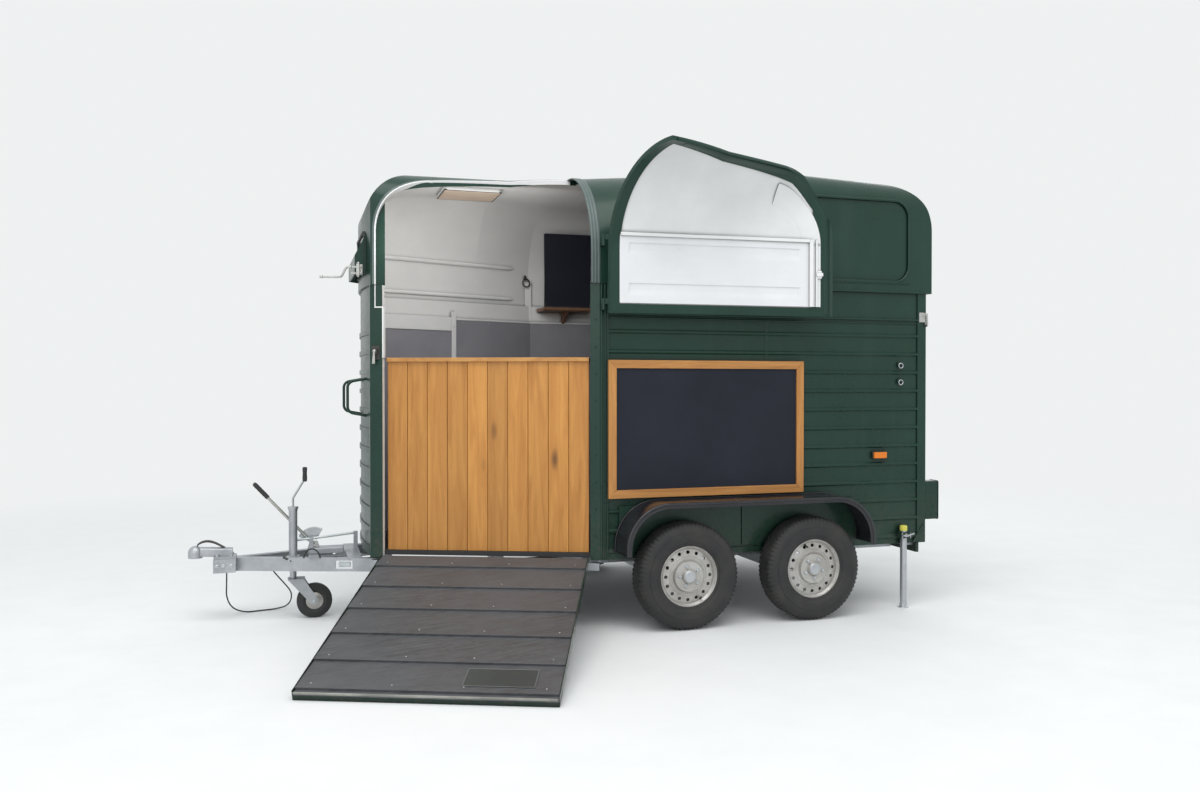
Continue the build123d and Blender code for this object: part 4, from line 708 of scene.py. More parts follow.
def skin_point(along, z, grow):
    """Layout point on the roof's near skin: distance forward of the bend, height."""
    low, high = -0.8, 0.08
    for _ in range(40):
        out = (low + high) / 2
        point = Vector((0.0, -HALF_WIDTH, z)) + NEAR_ALONG * along + NEAR_OUT * out
        if -point.y < roof_y(point.x, z, grow):
            low = out
        else:
            high = out
    return point


def opening_path(front, corner, crown_y, rear_x, bottom, grow):
    """Edge of an outline like the serving opening's: up its front, over the arc and crown, down its rear."""
    arc_x = -(front - corner - (HALF_WIDTH - crown_y) * math.sin(TAPER)) / math.cos(TAPER)
    top = roof_z(arc_x, crown_y, grow)
    path = [skin_point(front, bottom + (top - corner - bottom) * step / 8, grow) for step in range(8)]
    for step in range(17):
        angle = math.pi / 2 * step / 16
        path.append(skin_point(front - corner + corner * math.cos(angle),
            top - corner + corner * math.sin(angle), grow))
    for step in range(1, 24):
        x = arc_x + (rear_x - arc_x) * step / 24
        path.append(Vector((x, -crown_y, roof_z(x, crown_y, grow))))
    return path + rear_edge(rear_x, crown_y, bottom, grow)


def rear_edge(x, crown_y, bottom, grow):
    """Section of the near half of the roof at a station, from the crown's side down to a height."""
    half, radius, crown = roof_section(x, grow)
    path = []
    first = math.asin(min(max((crown_y - half + radius) / radius, 0.0), 1.0))
    for step in range(19):
        angle = first + (math.pi / 2 - first) * step / 18
        path.append(Vector((x, -(half - radius + radius * math.sin(angle)),
            crown - radius + radius * math.cos(angle))))
    spring = crown - radius
    return path + [Vector((x, -half, spring + (bottom - spring) * step / 4)) for step in range(1, 5)]


def framed(path, normals):
    """Sides and ups for a sweep: the side is across the path in the surface, the up leaves the surface."""
    sides = []
    for index, normal in enumerate(normals):
        before = path[max(index - 1, 0)]
        after = path[min(index + 1, len(path) - 1)]
        sides.append((after - before).cross(normal).normalized())
    return sides, normals


def opened(point):
    """Layout point of the closed door, turned with the door to where it stands open."""
    return Matrix.Rotation(DOOR_ANGLE, 3, "Z") @ (point - DOOR_HINGE) + DOOR_HINGE


def opened_way(direction):
    return Matrix.Rotation(DOOR_ANGLE, 3, "Z") @ direction


BEAD_SINK = 0.001


def half_round(width, height, steps=8):
    """Section of a half-round bead, with its flat side a little inside what carries it."""
    arch = [(width / 2 * math.cos(math.pi * step / steps), height * math.sin(math.pi * step / steps))
        for step in range(steps + 1)]
    return arch + [(-width / 2, -BEAD_SINK), (width / 2, -BEAD_SINK)]


def flat_strip(first, last, height, edge=0.0008, sink=BEAD_SINK):
    """Section of a flat strip between two distances across, with its upper edges eased."""
    return [(first, -sink), (last, -sink), (last, height - edge), (last - edge, height),
        (first + edge, height), (first, height - edge)]


def bead(name, path, normals, section, material, slot=None, body="trailer", sizes=None):
    """One strip or bead along a path."""
    return eased(Builder().sweep([point + OFFSET for point in path], section, normals, sizes) .finish(name,
        material, slot, body))


def eased(piece, angle=40.0):
    """Shades a piece smoothly, but keeps the edges sharper than an angle."""
    mesh = piece.data
    mesh.polygons.foreach_set("use_smooth", [True] * len(mesh.polygons))
    shape = bmesh.new()
    shape.from_mesh(mesh)
    for edge in shape.edges:
        edge.smooth = edge.is_manifold and edge.calc_face_angle(0.0) < math.radians(angle)
    shape.to_mesh(mesh)
    shape.free()
    return piece


def closed_sheet(name, front, back, material, slot, body):
    """A closed sheet between two grids of points, each a list of rows."""
    rows, columns = len(front), len(front[0])
    vertices = [point + OFFSET for row in front + back for point in row]
    lift = rows * columns
    faces = []
    for row in range(rows - 1):
        for column in range(columns - 1):
            a = row * columns + column
            quad = (a, a + 1, a + columns + 1, a + columns)
            faces.append(quad)
            faces.append(tuple(lift + v for v in reversed(quad)))
    edge = list(range(columns))
    edge += [row * columns + columns - 1 for row in range(1, rows)]
    edge += [(rows - 1) * columns + column for column in reversed(range(columns - 1))]
    edge += [row * columns for row in reversed(range(1, rows - 1))]
    for index, a in enumerate(edge):
        b = edge[(index + 1) % len(edge)]
        faces.append((b, a, lift + a, lift + b))
    sheet = Builder()
    sheet.vertices, sheet.faces, sheet.tints = vertices, faces, [0.0] * len(faces)
    return sheet.finish(name, material, slot, body)


rng = random.Random(20)

# Electric lead: its route in layout millimetres, as the solid's, then its plug and fittings
LEAD_ROUTE = ((-1747.9, 126.4, 328.0), (-1765.7, 177.4, 328.0), (-1762.0, 212.0, 283.0),
    (-1724.0, 210.0, 222.0), (-1668.0, 202.0, 158.0), (-1619.0, 203.0, 92.0), (-1642.0, 206.0, 20.0),
    (-1718.0, 203.0, 4.2), (-1805.0, 188.0, 4.2), (-1893.0, 163.0, 4.2), (-1964.0, 138.0, 40.0),
    (-1994.0, 128.0, 112.0), (-1990.0, 126.0, 190.0), (-1990.0, 126.0, 265.0))
lead_points = [at(x / 1000, y / 1000, z / 1000) for x, y, z in LEAD_ROUTE]
lead = tube("lead_cable", lead_points, 0.004, RUBBER, "black_cable", smooth_path=True, resolution=6)
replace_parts(lead, "electric_lead")

fittings = Builder()
HOLDER = (-1.99, 0.126)
gland = at(-1.74, 0.1037, 0.328)
gland_axis = Vector((-0.329, 0.944, 0.0)).normalized()
fittings.turned(gland, gland_axis, mm(0, 13, 8, 13, 8.5, 12), 6)
fittings.turned(gland, gland_axis, mm(0, 11, 9, 11, 11, 9.5, 11.5, 10.5, 14, 10.3, 14.5, 9, 17.5, 8.7, 18,
    7.8, 21.5, 7.4, 22.5, 6.2, 24, 5.5), 24)
fittings.turned(at(*HOLDER, 0.32), UP, mm(0, 22.8, 0, 27.5, 1.5, 29, 30, 29, 34, 27.5, 34, 0, 29.5, 0, 29.5,
    22.8), 32, closed=True)
fittings.block(at(-1.998, 0.086, 0.322), X * 0.016, Y * 0.013, Vector((0, 0, 0.03)))
lead_parts = eased(fittings.finish("lead_gland_and_holder", RUBBER, "black_plastic"))
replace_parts(lead_parts, "lead_fittings")

plug = Builder()
plug.turned(at(*HOLDER, 0.349), -UP, mm(0, 20, 1, 21.5, 31, 21.8, 33, 20.5, 36, 20.5, 38, 21.5, 44, 21.3,
    50, 18, 58, 14, 60.5, 12.8, 62, 11.2, 64, 12.2, 66.5, 12.2, 68, 10.5, 70, 11.2, 72.5, 11, 74, 9.5, 76,
    10, 78.5, 9.7, 81, 7.8, 84, 6.8), 40)
for step in range(14):
    angle = 2 * math.pi * step / 14
    spoke = Vector((math.cos(angle), math.sin(angle), 0.0))
    plug.block(at(*HOLDER, 0.3155) + spoke * 0.02 - UP.cross(spoke) * 0.0016, spoke * 0.0028,
        UP.cross(spoke) * 0.0032, UP * -0.022)
lead_end = eased(plug.finish("lead_plug_body", RUBBER, "black_plastic"))
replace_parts(lead_end, "lead_plug")

# Counter: ten upright boards with eased edges, and the rail over the ledge's nose
COUNTER_START, COUNTER_END = 0.062, 1.213
COUNTER_OUT, COUNTER_TOP = -0.046, 1.49
BOARDS = 10
board_width = (COUNTER_END - COUNTER_START) / BOARDS
boards = Builder()
for index in range(BOARDS):
    along = COUNTER_START + index * board_width
    proud = rng.uniform(-0.0012, 0.0)
    boards.near_box(along + 0.0009, COUNTER_OUT - 0.024, FLOOR_TOP, board_width - 0.0018, 0.024 + proud,
        COUNTER_TOP - FLOOR_TOP, rng.uniform(0.05, 1.0))
counter = bevelled(boards.finish("counter_boards", OAK, "oak_boards"), 0.0028, 3)
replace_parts(counter, "counter_panel")
bevelled(Builder().near_box(COUNTER_START, -0.0335, 1.4895, COUNTER_END - COUNTER_START, 0.003,
    0.0225) .near_box(COUNTER_START, -0.062, 1.5095, COUNTER_END - COUNTER_START, 0.031,
    0.0028) .finish("counter_rail", OAK_LEDGE, "oak_boards"), 0.0008)

# Ramp: lapped planks whose lower edges stand proud, a worn strip at the tip and a blank plate
RAMP_LAPS = (0.016, 0.152, 0.384, 0.616, 0.855, 1.09, 1.318, 1.35)
RAMP_WIDTH = 1.155
planks = Builder()
for index, (top, low) in enumerate(zip(RAMP_LAPS, RAMP_LAPS[1:])):
    last = index == len(RAMP_LAPS) - 2
    rise_top, rise_low = (0.034, 0.036) if last else (0.0355, 0.046)
    reach = 0.0 if last else 0.004
    planks.prism([on_ramp(0.0015, top + 0.0006, 0.022), on_ramp(0.0015, low + reach, 0.022),
        on_ramp(0.0015, low + reach, rise_low), on_ramp(0.0015, top + 0.0006, rise_top)],
        NEAR_ALONG * (RAMP_WIDTH - 0.003), rng.uniform(0.1, 1.0))
deck = bevelled(planks.finish("ramp_planks", RAMP_TIMBER, "floor_mat", "side_ramp"), 0.0016, 2)
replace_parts(deck, "ramp_deck")
Builder().sweep([on_ramp(0.002 + (RAMP_WIDTH - 0.004) * step / 60, 1.3462, 0.0355) for step in range(61)],
    [(-0.0045, -0.006), (0.0045, -0.006), (0.0045, 0.0008), (0.003, 0.0018), (-0.004, 0.0018),
    (-0.0045, 0.0008)], RAMP_UP).finish("ramp_tip_strip", RAMP_TIP, body="side_ramp")


def ramp_patch(left, right, high, low):
    """Corners of a patch on the lowered ramp, whose upper and lower ends are (down, rise) pairs."""
    return [on_ramp(left, *high), on_ramp(right, *high), on_ramp(right, *low), on_ramp(left, *low)]


PLATE_LEFT, PLATE_RIGHT, PLATE_HIGH, PLATE_LOW = 0.11, 0.43, (1.135, 0.0385), (1.282, 0.0448)
bevelled(Builder().prism(ramp_patch(PLATE_LEFT, PLATE_RIGHT, PLATE_HIGH, PLATE_LOW),
    RAMP_UP * 0.0022) .finish("ramp_plate", PLATE_DARK, "blank_board", "side_ramp"), 0.0006)
plate_rim = Builder()
for patch in ((PLATE_LEFT, PLATE_RIGHT, PLATE_HIGH, (1.14, 0.0387)),
        (PLATE_LEFT, PLATE_RIGHT, (1.277, 0.0446), PLATE_LOW), (PLATE_LEFT, 0.115, PLATE_HIGH, PLATE_LOW),
        (0.425, PLATE_RIGHT, PLATE_HIGH, PLATE_LOW)):
    plate_rim.prism(ramp_patch(*patch), RAMP_UP * 0.0032)
plate_rim.finish("ramp_plate_rim", PLATE_BORDER, body="side_ramp")
SCREW_RISE = 0.04453
screws = [(on_ramp(along, down - 0.034, SCREW_RISE), RAMP_UP) for down in RAMP_LAPS[1:-1]
    for along in (0.06, 0.42, 0.735, 1.095)]
rivets("ramp_screws", screws, 0.0042, ZINC, 0.35, "side_ramp")
edge_rail = Builder()
for along in (-0.003, RAMP_WIDTH):
    edge_rail.block(on_ramp(along, 0.018, -0.0005), NEAR_ALONG * 0.003, RAMP_ALONG * 1.331,
        RAMP_UP * 0.0465)
bevelled(edge_rail.finish("ramp_edges", GREEN, body="side_ramp"), 0.001)

# Framed blank sign: four mitred boards
SIGN_X, SIGN_Z, SIGN_FRAME = (0.045, 1.255), (0.727, 1.497), 0.046
sign_y = -HALF_WIDTH - 0.008
sign_outer, sign_inner = ([(SIGN_X[0] + inset, SIGN_Z[0] + inset), (SIGN_X[1] - inset, SIGN_Z[0] + inset),
    (SIGN_X[1] - inset, SIGN_Z[1] - inset), (SIGN_X[0] + inset, SIGN_Z[1] - inset)]
    for inset in (0.0, SIGN_FRAME))
for name, sides, material in (("sign_frame_level", (0, 2), SIGN_WOOD_X),
        ("sign_frame_upright", (1, 3), SIGN_WOOD_Z)):
    boards = Builder()
    for side in sides:
        after = (side + 1) % 4
        boards.prism([at(x, sign_y, z) for x, z in (sign_outer[side], sign_outer[after], sign_inner[after],
            sign_inner[side])], Y * -0.022, rng.uniform(0.3, 0.9))
    made = bevelled(boards.finish(name, material, "varnished_wood"), 0.0022, 3)
    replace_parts(made, "sign_frame")

# Serving opening: thin edge strip in a lighter green as a painted highlight, white lip on the cut edge, and
# the ridged hoop behind it in the same lighter green as painted sheen
OPENING = (1.27, 0.3, 0.38)
OPENING_REAR, OPENING_LOW = 0.0, 1.925
edge = opening_path(*OPENING, OPENING_REAR, OPENING_LOW, ROOF_OUTSIDE)[:48]
edge_normals = [roof_normal(point) for point in edge]
# Painted highlight: a lighter green strip along the opening's edge
bead("opening_edge_highlight", edge, edge_normals, flat_strip(-0.0115, -0.0005, 0.0016, 0.0005), SHEEN_GREEN)
lip_normals, _ = framed(edge, edge_normals)
lip_path = [point - normal * 0.0145 for point, normal in zip(edge, edge_normals)]
bead("opening_lip", lip_path[:25], lip_normals[:25], flat_strip(-0.0145, 0.0145, 0.0075, 0.002), LIP_WHITE)
bead("opening_crown_lip", lip_path[24:], lip_normals[24:], flat_strip(-0.0145, 0.0145, 0.006, 0.002),
    LIP_WHITE)
LIP_ALONG, LIP_OUT, LIP_DEEP = 1.2192, -0.03, 0.0395
bevelled(Builder().near_box(LIP_ALONG, LIP_OUT, 1.51, 0.0075, LIP_DEEP, 0.282) .near_box(LIP_ALONG, LIP_OUT,
    1.792, 0.052, LIP_DEEP, 0.0075) .near_box(1.2635, LIP_OUT, 1.7995, 0.0065, LIP_DEEP, 0.126)
    .finish("post_lip", LIP_WHITE), 0.0018)
hoop_section = [(0.0, -0.003), (0.052, -0.003), (0.052, 0.0005)]
for middle in (0.044, 0.026, 0.008):
    hoop_section += [(middle + 0.0075 * math.cos(angle), 0.0005 + 0.0036 * math.sin(angle))
        for angle in (math.pi * step / 6 for step in range(7))]
hoop_section.append((0.0, 0.0005))
near_half = rear_edge(0.0, 0.0, 1.922, ROOF_OUTSIDE)
hoop_half = [Vector((0.001, -0.18 * step, roof_z(0.0, 0.18 * step, ROOF_OUTSIDE)))
    for step in range(2)] + near_half[1:]
for side_name, side in SIDES:
    path = [Vector((point.x, -side * point.y, point.z)) for point in hoop_half]
    normals = [Vector((0.0, side * abs(n.y), n.z)).normalized()
        for n in (roof_normal(Vector((0.001, p.y, p.z))) for p in hoop_half)]
    section = hoop_section if side < 0 else [(-a, b) for a, b in reversed(hoop_section)]
    # Painted sheen: the green-painted hoop takes the lighter green
    bead(f"roof_hoop_{side_name}", path, normals, section, SHEEN_GREEN, "painted_green")
    ridges = Builder()
    for x in (0.01, 0.03, 0.046):
        ridges.sweep([at(x, side * (HALF_WIDTH + 0.008), 0.389 + 1.53 * step / 4) for step in range(5)],
            half_round(0.011, 0.005), Y * side)
    eased(ridges.finish(f"post_ridges_{side_name}", GREEN))

# Top door: pressed panel with two channels, battens, catch and the rounded rim
DOOR_CROWN_Y, DOOR_REAR = 0.365, -0.005
DOOR = (1.325, 0.4, DOOR_CROWN_Y)
PANEL_LOW, PANEL_TOP, PANEL_REAR, PANEL_FRONT = 1.806, 2.176, 0.05, 1.25
PANEL_FACE, CHANNEL_DEPTH = 0.0195, 0.0055
CHANNELS = ((1.846, 1.916), (2.066, 2.136))
CHANNEL_ENDS = (0.1, 1.125)


def channel_depth(along, z):
    """How far the pressed channels sink the panel at a point, from none to their depth."""
    across = min(1.0, max(0.0, min(along - CHANNEL_ENDS[0], CHANNEL_ENDS[1] - along) / 0.01))
    return CHANNEL_DEPTH * max(min(across, max(0.0, min(1.0, (z - low) / 0.03, (high - z) / 0.006)))
        for low, high in CHANNELS)


levels = sorted({round(PANEL_LOW + step * 0.0062, 4) for step in range(59)} | {PANEL_TOP} | {z
    for low, high in CHANNELS for z in (low, low + 0.03, high - 0.006, high)})
stations = sorted({round(PANEL_REAR + step * 0.029, 4)
    for step in range(42)} | {PANEL_FRONT} | {CHANNEL_ENDS[0], CHANNEL_ENDS[0] + 0.01,
    CHANNEL_ENDS[1] - 0.01, CHANNEL_ENDS[1]})
front_grid = [[opened(skin_point(s, z, PANEL_FACE + channel_depth(s, z))) for s in stations]
    for z in levels]
back_grid = [[opened(skin_point(s, z, 0.0272)) for s in stations] for z in levels]
eased(closed_sheet("door_pressed_panel", front_grid, back_grid, DOOR_PANEL, "white_lining", "side_door"),
    25.0)


def door_strip(name, path, width, height):
    """A flat batten on the door's lining, along (distance forward of the bend, height) places."""
    points = [skin_point(s, z, LINING_FACE) for s, z in path]
    normals = [-opened_way(roof_normal(point)) for point in points]
    points = [opened(point) for point in points]
    return bead(name, points, normals, flat_strip(-width / 2, width / 2, height, 0.0015, 0.002), LIP_WHITE,
        "white_lining", "side_door")


LINING_CORNER = 0.33
INWARD = (0.0, 0.025, 0.05, 0.072, 0.11)
INWARD_FACES = (0.0185, 0.0185, 0.0185, 0.0187, 0.0254)
lining_arc_x = -(PANEL_FRONT - LINING_CORNER - (HALF_WIDTH - DOOR_CROWN_Y) *
    math.sin(TAPER)) / math.cos(TAPER)
lining_top = roof_z(lining_arc_x, DOOR_CROWN_Y, PANEL_FACE) - 0.058
corner_rows = [[(PANEL_FRONT - inward, 2.17 + (lining_top - LINING_CORNER - 2.17) * step / 6)
    for inward in INWARD] for step in range(6)]
for step in range(15):
    angle = math.radians(84.0) * step / 14
    corner_rows.append([(PANEL_FRONT - LINING_CORNER + (LINING_CORNER - inward) * math.cos(angle),
        lining_top - LINING_CORNER + (LINING_CORNER - inward) * math.sin(angle)) for inward in INWARD])
eased(closed_sheet("door_lining_corner", [[opened(skin_point(s, z, grow))
    for (s, z), grow in zip(row, INWARD_FACES)] for row in corner_rows],
    [[opened(skin_point(s, z, 0.0268)) for s, z in row] for row in corner_rows], DOOR_WHITE, "white_lining",
    "side_door"), 30.0)
door_strip("door_batten_level", [(0.052 + 1.132 * step / 24, 2.182) for step in range(25)], 0.018, 0.016)
for label, along, width, height in (("upright", 1.19, 0.024, 0.016), ("edge", 1.224, 0.012, 0.012)):
    door_strip(f"door_batten_{label}", [(along, PANEL_LOW + 0.384 * step / 12) for step in range(13)],
        width, height)
catch = Builder()
for low, high, start, end, deep in ((1.968, 2.013, 1.228, 1.255, 0.014),
        (1.98, 2.001, 1.222, 1.262, 0.018)):
    base = skin_point(start, low, LINING_FACE)
    catch.block(opened(base) + OFFSET, opened_way(NEAR_ALONG * (end - start)), -opened_way(NEAR_OUT) * deep,
        UP * (high - low))
bevelled(catch.finish("door_catch", LIP_WHITE, "white_lining", "side_door"), 0.003, 3)

rim_edge = opening_path(*DOOR, DOOR_REAR, 1.762, DOOR_RIM_FACE)
rim_normals = [roof_normal(point) for point in rim_edge]
rim_sides, _ = framed(rim_edge, rim_normals)
rim_path = [point + side * 0.025 for point, side in zip(rim_edge, rim_sides)]
bead("door_rim_bead", [opened(point) for point in rim_path[:46]],
    [-opened_way(normal) for normal in rim_normals[:46]], half_round(0.046, 0.003, 10), GREEN,
    body="side_door")
outer_edge = opening_path(*DOOR, DOOR_REAR, 1.752, DOOR_OUTER)
outer_normals = [roof_normal(point) for point in outer_edge]
outer_sides, _ = framed(outer_edge, outer_normals)
bead("door_edge_roll", [opened(point - normal * 0.011)
    for point, normal in zip(outer_edge, outer_normals)][:48],
    [-opened_way(side) for side in outer_sides[:48]], half_round(0.021, 0.004, 8), GREEN, body="side_door")
bolt_heights = (1.782, 1.818, 2.132, 2.168)
bolts = [(opened(skin_point(0.03, z, DOOR_OUTER + 0.0055)) + OFFSET, opened_way(NEAR_OUT))
    for z in bolt_heights]
rivets("door_hinge_bolts", bolts, 0.0055, ZINC, 0.6, "side_door")

# Inside of the far wall: pressed ribs, capping strips, tie ring, ceiling light and shelf edges
RIB_START, RIB_WIDTH, RIB_HEIGHT = 0.125, 0.028, 0.013


def far_rib(name, end, z):
    """A pressed rib along the inside of the far skin, which dies away at both ends."""
    near = [skin_point(RIB_START + (end - RIB_START) * step / 24, z, ROOF_INSIDE) for step in range(25)]
    path = [Vector((point.x, -point.y, point.z)) for point in near]
    normals = [Vector((-n.x, n.y, -n.z)) for n in (roof_normal(point) for point in near)]
    sizes = [max(0.06, min(1.0, math.sqrt(max(0.0, 1 - max(0.0, 1 - min(step, 24 - step) / 1.2) ** 2))))
        for step in range(25)]
    bead(name, path, normals, half_round(RIB_WIDTH, RIB_HEIGHT, 10), WHITE, "white_lining", sizes=sizes)


far_rib("far_rib_upper", 1.19, 2.18)
far_rib("far_rib_lower", 1.18, 1.964)
caps = Builder()
caps.far_box(-0.003, -0.03, 1.797, 0.632, -0.016, 0.012)
caps.box(-0.003, 0.826, 1.797, 0.7, -0.016, 0.012)
caps.far_box(0.64, -0.042, 1.722, 0.59, -0.007, 0.092)
caps.far_box(0.627, -0.03, FLOOR_TOP, 0.034, -0.022, 1.43)
bevelled(caps.finish("far_wall_caps", DOOR_WHITE, "white_lining"), 0.002)
Builder().far_box(-0.003, -0.03, FLOOR_TOP, 0.06, -0.0128, 1.376).box(-0.005, 0.826, FLOOR_TOP, 0.065,
    -0.0128, 1.376).finish("kick_post_cover", KICK_GREY, "kick_paint")
bevelled(Builder().box(-0.028, 0.8405, 1.8, 0.05, -0.016, 0.295) .finish("far_post_cover", WHITE,
    "white_lining"), 0.003)
ring_plate = Builder()
ring_plate.far_box(0.035, -0.0305, 2.104, 0.018, -0.004, 0.034)
ring_plate.turned(far_wall(0.044, -0.034, 2.13), -FAR_OUT, mm(0, 4.5, 3, 4, 3.5, 0), 10)
ring_plate.turned(far_wall(0.044, -0.034, 2.115), -FAR_OUT, mm(0, 8, 10, 7, 13, 4, 13, 0), 14)
bevelled(ring_plate.finish("tie_ring_plate", CAST), 0.0008)
ring_angles = [2 * math.pi * step / 24 for step in range(25)]
ring_points = [far_wall(0.044 + 0.029 * math.sin(angle), -0.044 - 0.003 * (1 - math.cos(angle)),
    2.085 + 0.029 * math.cos(angle)) for angle in ring_angles]
tube("tie_ring", ring_points, 0.0048, CAST, ends=False)
screws = [(far_wall(0.15 + 0.21 * step, -0.0425, 1.78), -FAR_OUT) for step in range(3)]
screws += [(far_wall(0.644, -0.0525, 0.55 + 0.24 * step), -FAR_OUT) for step in range(6)]
rivets("kick_screws", screws, 0.004, ZINC, 0.4)
LIGHT_X, LIGHT_HALF, LIGHT_Z = (-0.742, -0.406), 0.142, 2.5262


def light_corners(out):
    """Corners of a rectangle a distance outside the ceiling light's lens."""
    front, rear, half = LIGHT_X[0] - out, LIGHT_X[1] + out, LIGHT_HALF + out
    return [at(x, y, LIGHT_Z) for x, y in ((front, -half), (rear, -half), (rear, half), (front, half))]


bevelled(Builder().prism(light_corners(0.0), UP * -0.004).finish("ceiling_light_lens", LIGHT_LENS), 0.0016)
light_seal = light_corners(0.006)
tube("ceiling_light_seal", light_seal + light_seal[:1], 0.0035, RUBBER, ends=False)
tube("inner_shelf_edge", [at(0.062, 0.6262, 1.891), at(0.44, 0.6262, 1.891)], 0.0088, SHELF_WOOD)
board_frame = Builder()
lean = math.radians(2.0)
lean_up = Vector((0.0, math.sin(lean), math.cos(lean)))
board_face = Vector((0.0, -math.cos(lean), math.sin(lean)))
foot = at(0.07, 0.648, 1.9025) + board_face * 0.0124
for height, rise in ((0.0, 0.007), (0.515, -0.007)):
    board_frame.block(foot + lean_up * height, X * 0.335, lean_up * rise, board_face * 0.0022)
for start in (0.0, 0.328):
    board_frame.block(foot + X * start, X * 0.007, lean_up * 0.515, board_face * 0.0022)
bevelled(board_frame.finish("shelf_board_edge", CAST, "blank_board"), 0.0006)

# Beads and rivets of the body, the same on both sides
recess = (1.01, 1.985, 1.985, 2.48, 0.1)
LEVEL_BEADS = ((0.055, 2.085, 1.756, 0.0, 0.014, 0.0095), (0.055, 2.085, 1.734, 0.0, 0.01, 0.0065),
    (0.055, 2.1, 1.924, 0.012, 0.013, 0.0075), (1.02, 1.985, 1.976, 0.015, 0.009, 0.005))


def rounded_outline(x0, x1, z0, z1, corner, steps=8):
    outline = []
    for cx, cz, start in ((x1 - corner, z1 - corner, 0), (x0 + corner, z1 - corner, 90),
            (x0 + corner, z0 + corner, 180), (x1 - corner, z0 + corner, 270)):
        for step in range(steps + 1):
            angle = math.radians(start + 90 * step / steps)
            outline.append((cx + corner * math.cos(angle), cz + corner * math.sin(angle)))
    return outline


for side_name, side in SIDES:
    beads = Builder()
    way = Y * side
    for x0, x1, z, out, width, height in LEVEL_BEADS:
        beads.sweep([at(x0 + (x1 - x0) * step / 12, side * (HALF_WIDTH + out), z) for step in range(13)],
            half_round(width, height), way)
    beads.sweep([at(1.024, side * HALF_WIDTH, 1.498 + 0.233 * step / 4) for step in range(5)],
        half_round(0.02, 0.004), way)
    frame_outline = [at(x, side * (HALF_WIDTH + ROOF_OUTSIDE), z) for x, z in rounded_outline(*recess)]
    beads.sweep(frame_outline, half_round(0.016, 0.0055), way, closed=True)
    eased(beads.finish(f"body_beads_{side_name}", GREEN))
    heads = [(at(0.075 + 0.0765 * step, side * (HALF_WIDTH + ROOF_OUTSIDE), 1.944), way)
        for step in range(27)]
    heads += [(at(0.11 + 0.155 * step, side * HALF_WIDTH, 1.775), way) for step in range(13)]
    for step in range(9):
        heads.append((at(2.104, side * (HALF_WIDTH + 0.008), 0.78 + 0.13 * step), way))
        heads.append((at(-0.022, side * (HALF_WIDTH + 0.0045), 0.52 + 0.15 * step), way))
    rivets(f"body_rivets_{side_name}", heads, 0.0048, GREEN, 0.5)
far_beads = Builder()
for _, _, z, out, width, height in LEVEL_BEADS[:3]:
    far_beads.sweep([far_wall(0.055 + 1.165 * step / 8, out, z) for step in range(9)],
        half_round(width, height), FAR_OUT)
eased(far_beads.finish("front_beads_far", GREEN))

# Wheels: treaded tyres, wheel nuts round the cap, rim rings and valve
TYRE_HALF = TYRE_WIDTH / 2
TREAD_COLUMNS = (-0.0525, -0.044, -0.0345, -0.0338, -0.03, -0.0293, -0.013, -0.0123, -0.0085, -0.0078,
    0.0078, 0.0085, 0.0123, 0.013, 0.0293, 0.03, 0.0338, 0.0345, 0.044, 0.0525)
NOTCH_DEPTHS = (0.0, 0.0022, 0.0052)
GROOVES = ((-0.0339, -0.0299), (-0.0124, -0.0084), (0.0084, 0.0124), (0.0299, 0.0339))


def tyre_profile():
    """Tyre section as (distance out, radius, whether the block notches cut it)."""
    wall = [(0.0605, 0.1685, 0), (0.064, 0.174, 0), (0.065, 0.18, 0), (0.07, 0.183, 0), (0.0745, 0.195, 0),
        (0.0755, 0.1958, 0), (0.079, 0.21, 0), (0.0825, 0.228, 0), (0.083, 0.238, 0), (0.0805, 0.2395, 0),
        (0.0812, 0.252, 0), (0.0785, 0.264, 0), (0.073, 0.277, 1), (0.064, 0.289, 2)]
    profile = [(-out, radius, notch) for out, radius, notch in wall]
    for out in TREAD_COLUMNS:
        sunk = any(low < out < high for low, high in GROOVES)
        crown = 0.298 - 0.0016 * (out / 0.0525) ** 2
        profile.append((out, crown - (0.0065 if sunk else 0.0),
            2 if abs(out) > 0.044 else (1 if abs(out) > 0.036 else 0)))
    return profile + list(reversed(wall))


def tyre_tread(name, centre, side, body):
    """A tyre turned about its axle, with circumferential grooves and notched shoulder blocks."""
    profile = tyre_profile()
    steps = 432
    tread = Builder()
    for step in range(steps):
        outward = around(2 * math.pi * step / steps)
        for out, radius, notch in profile:
            phase = (step + (0 if out < 0 else 3)) % 6
            cut = NOTCH_DEPTHS[notch] if phase < 2 else 0.0
            tread.vertices.append(centre + Y * (side * out) + outward * (radius - cut))
    tread.grid(0, steps, len(profile))
    return eased(tread.finish(name, TYRE_RUBBER, "tyre", body), 32.0)


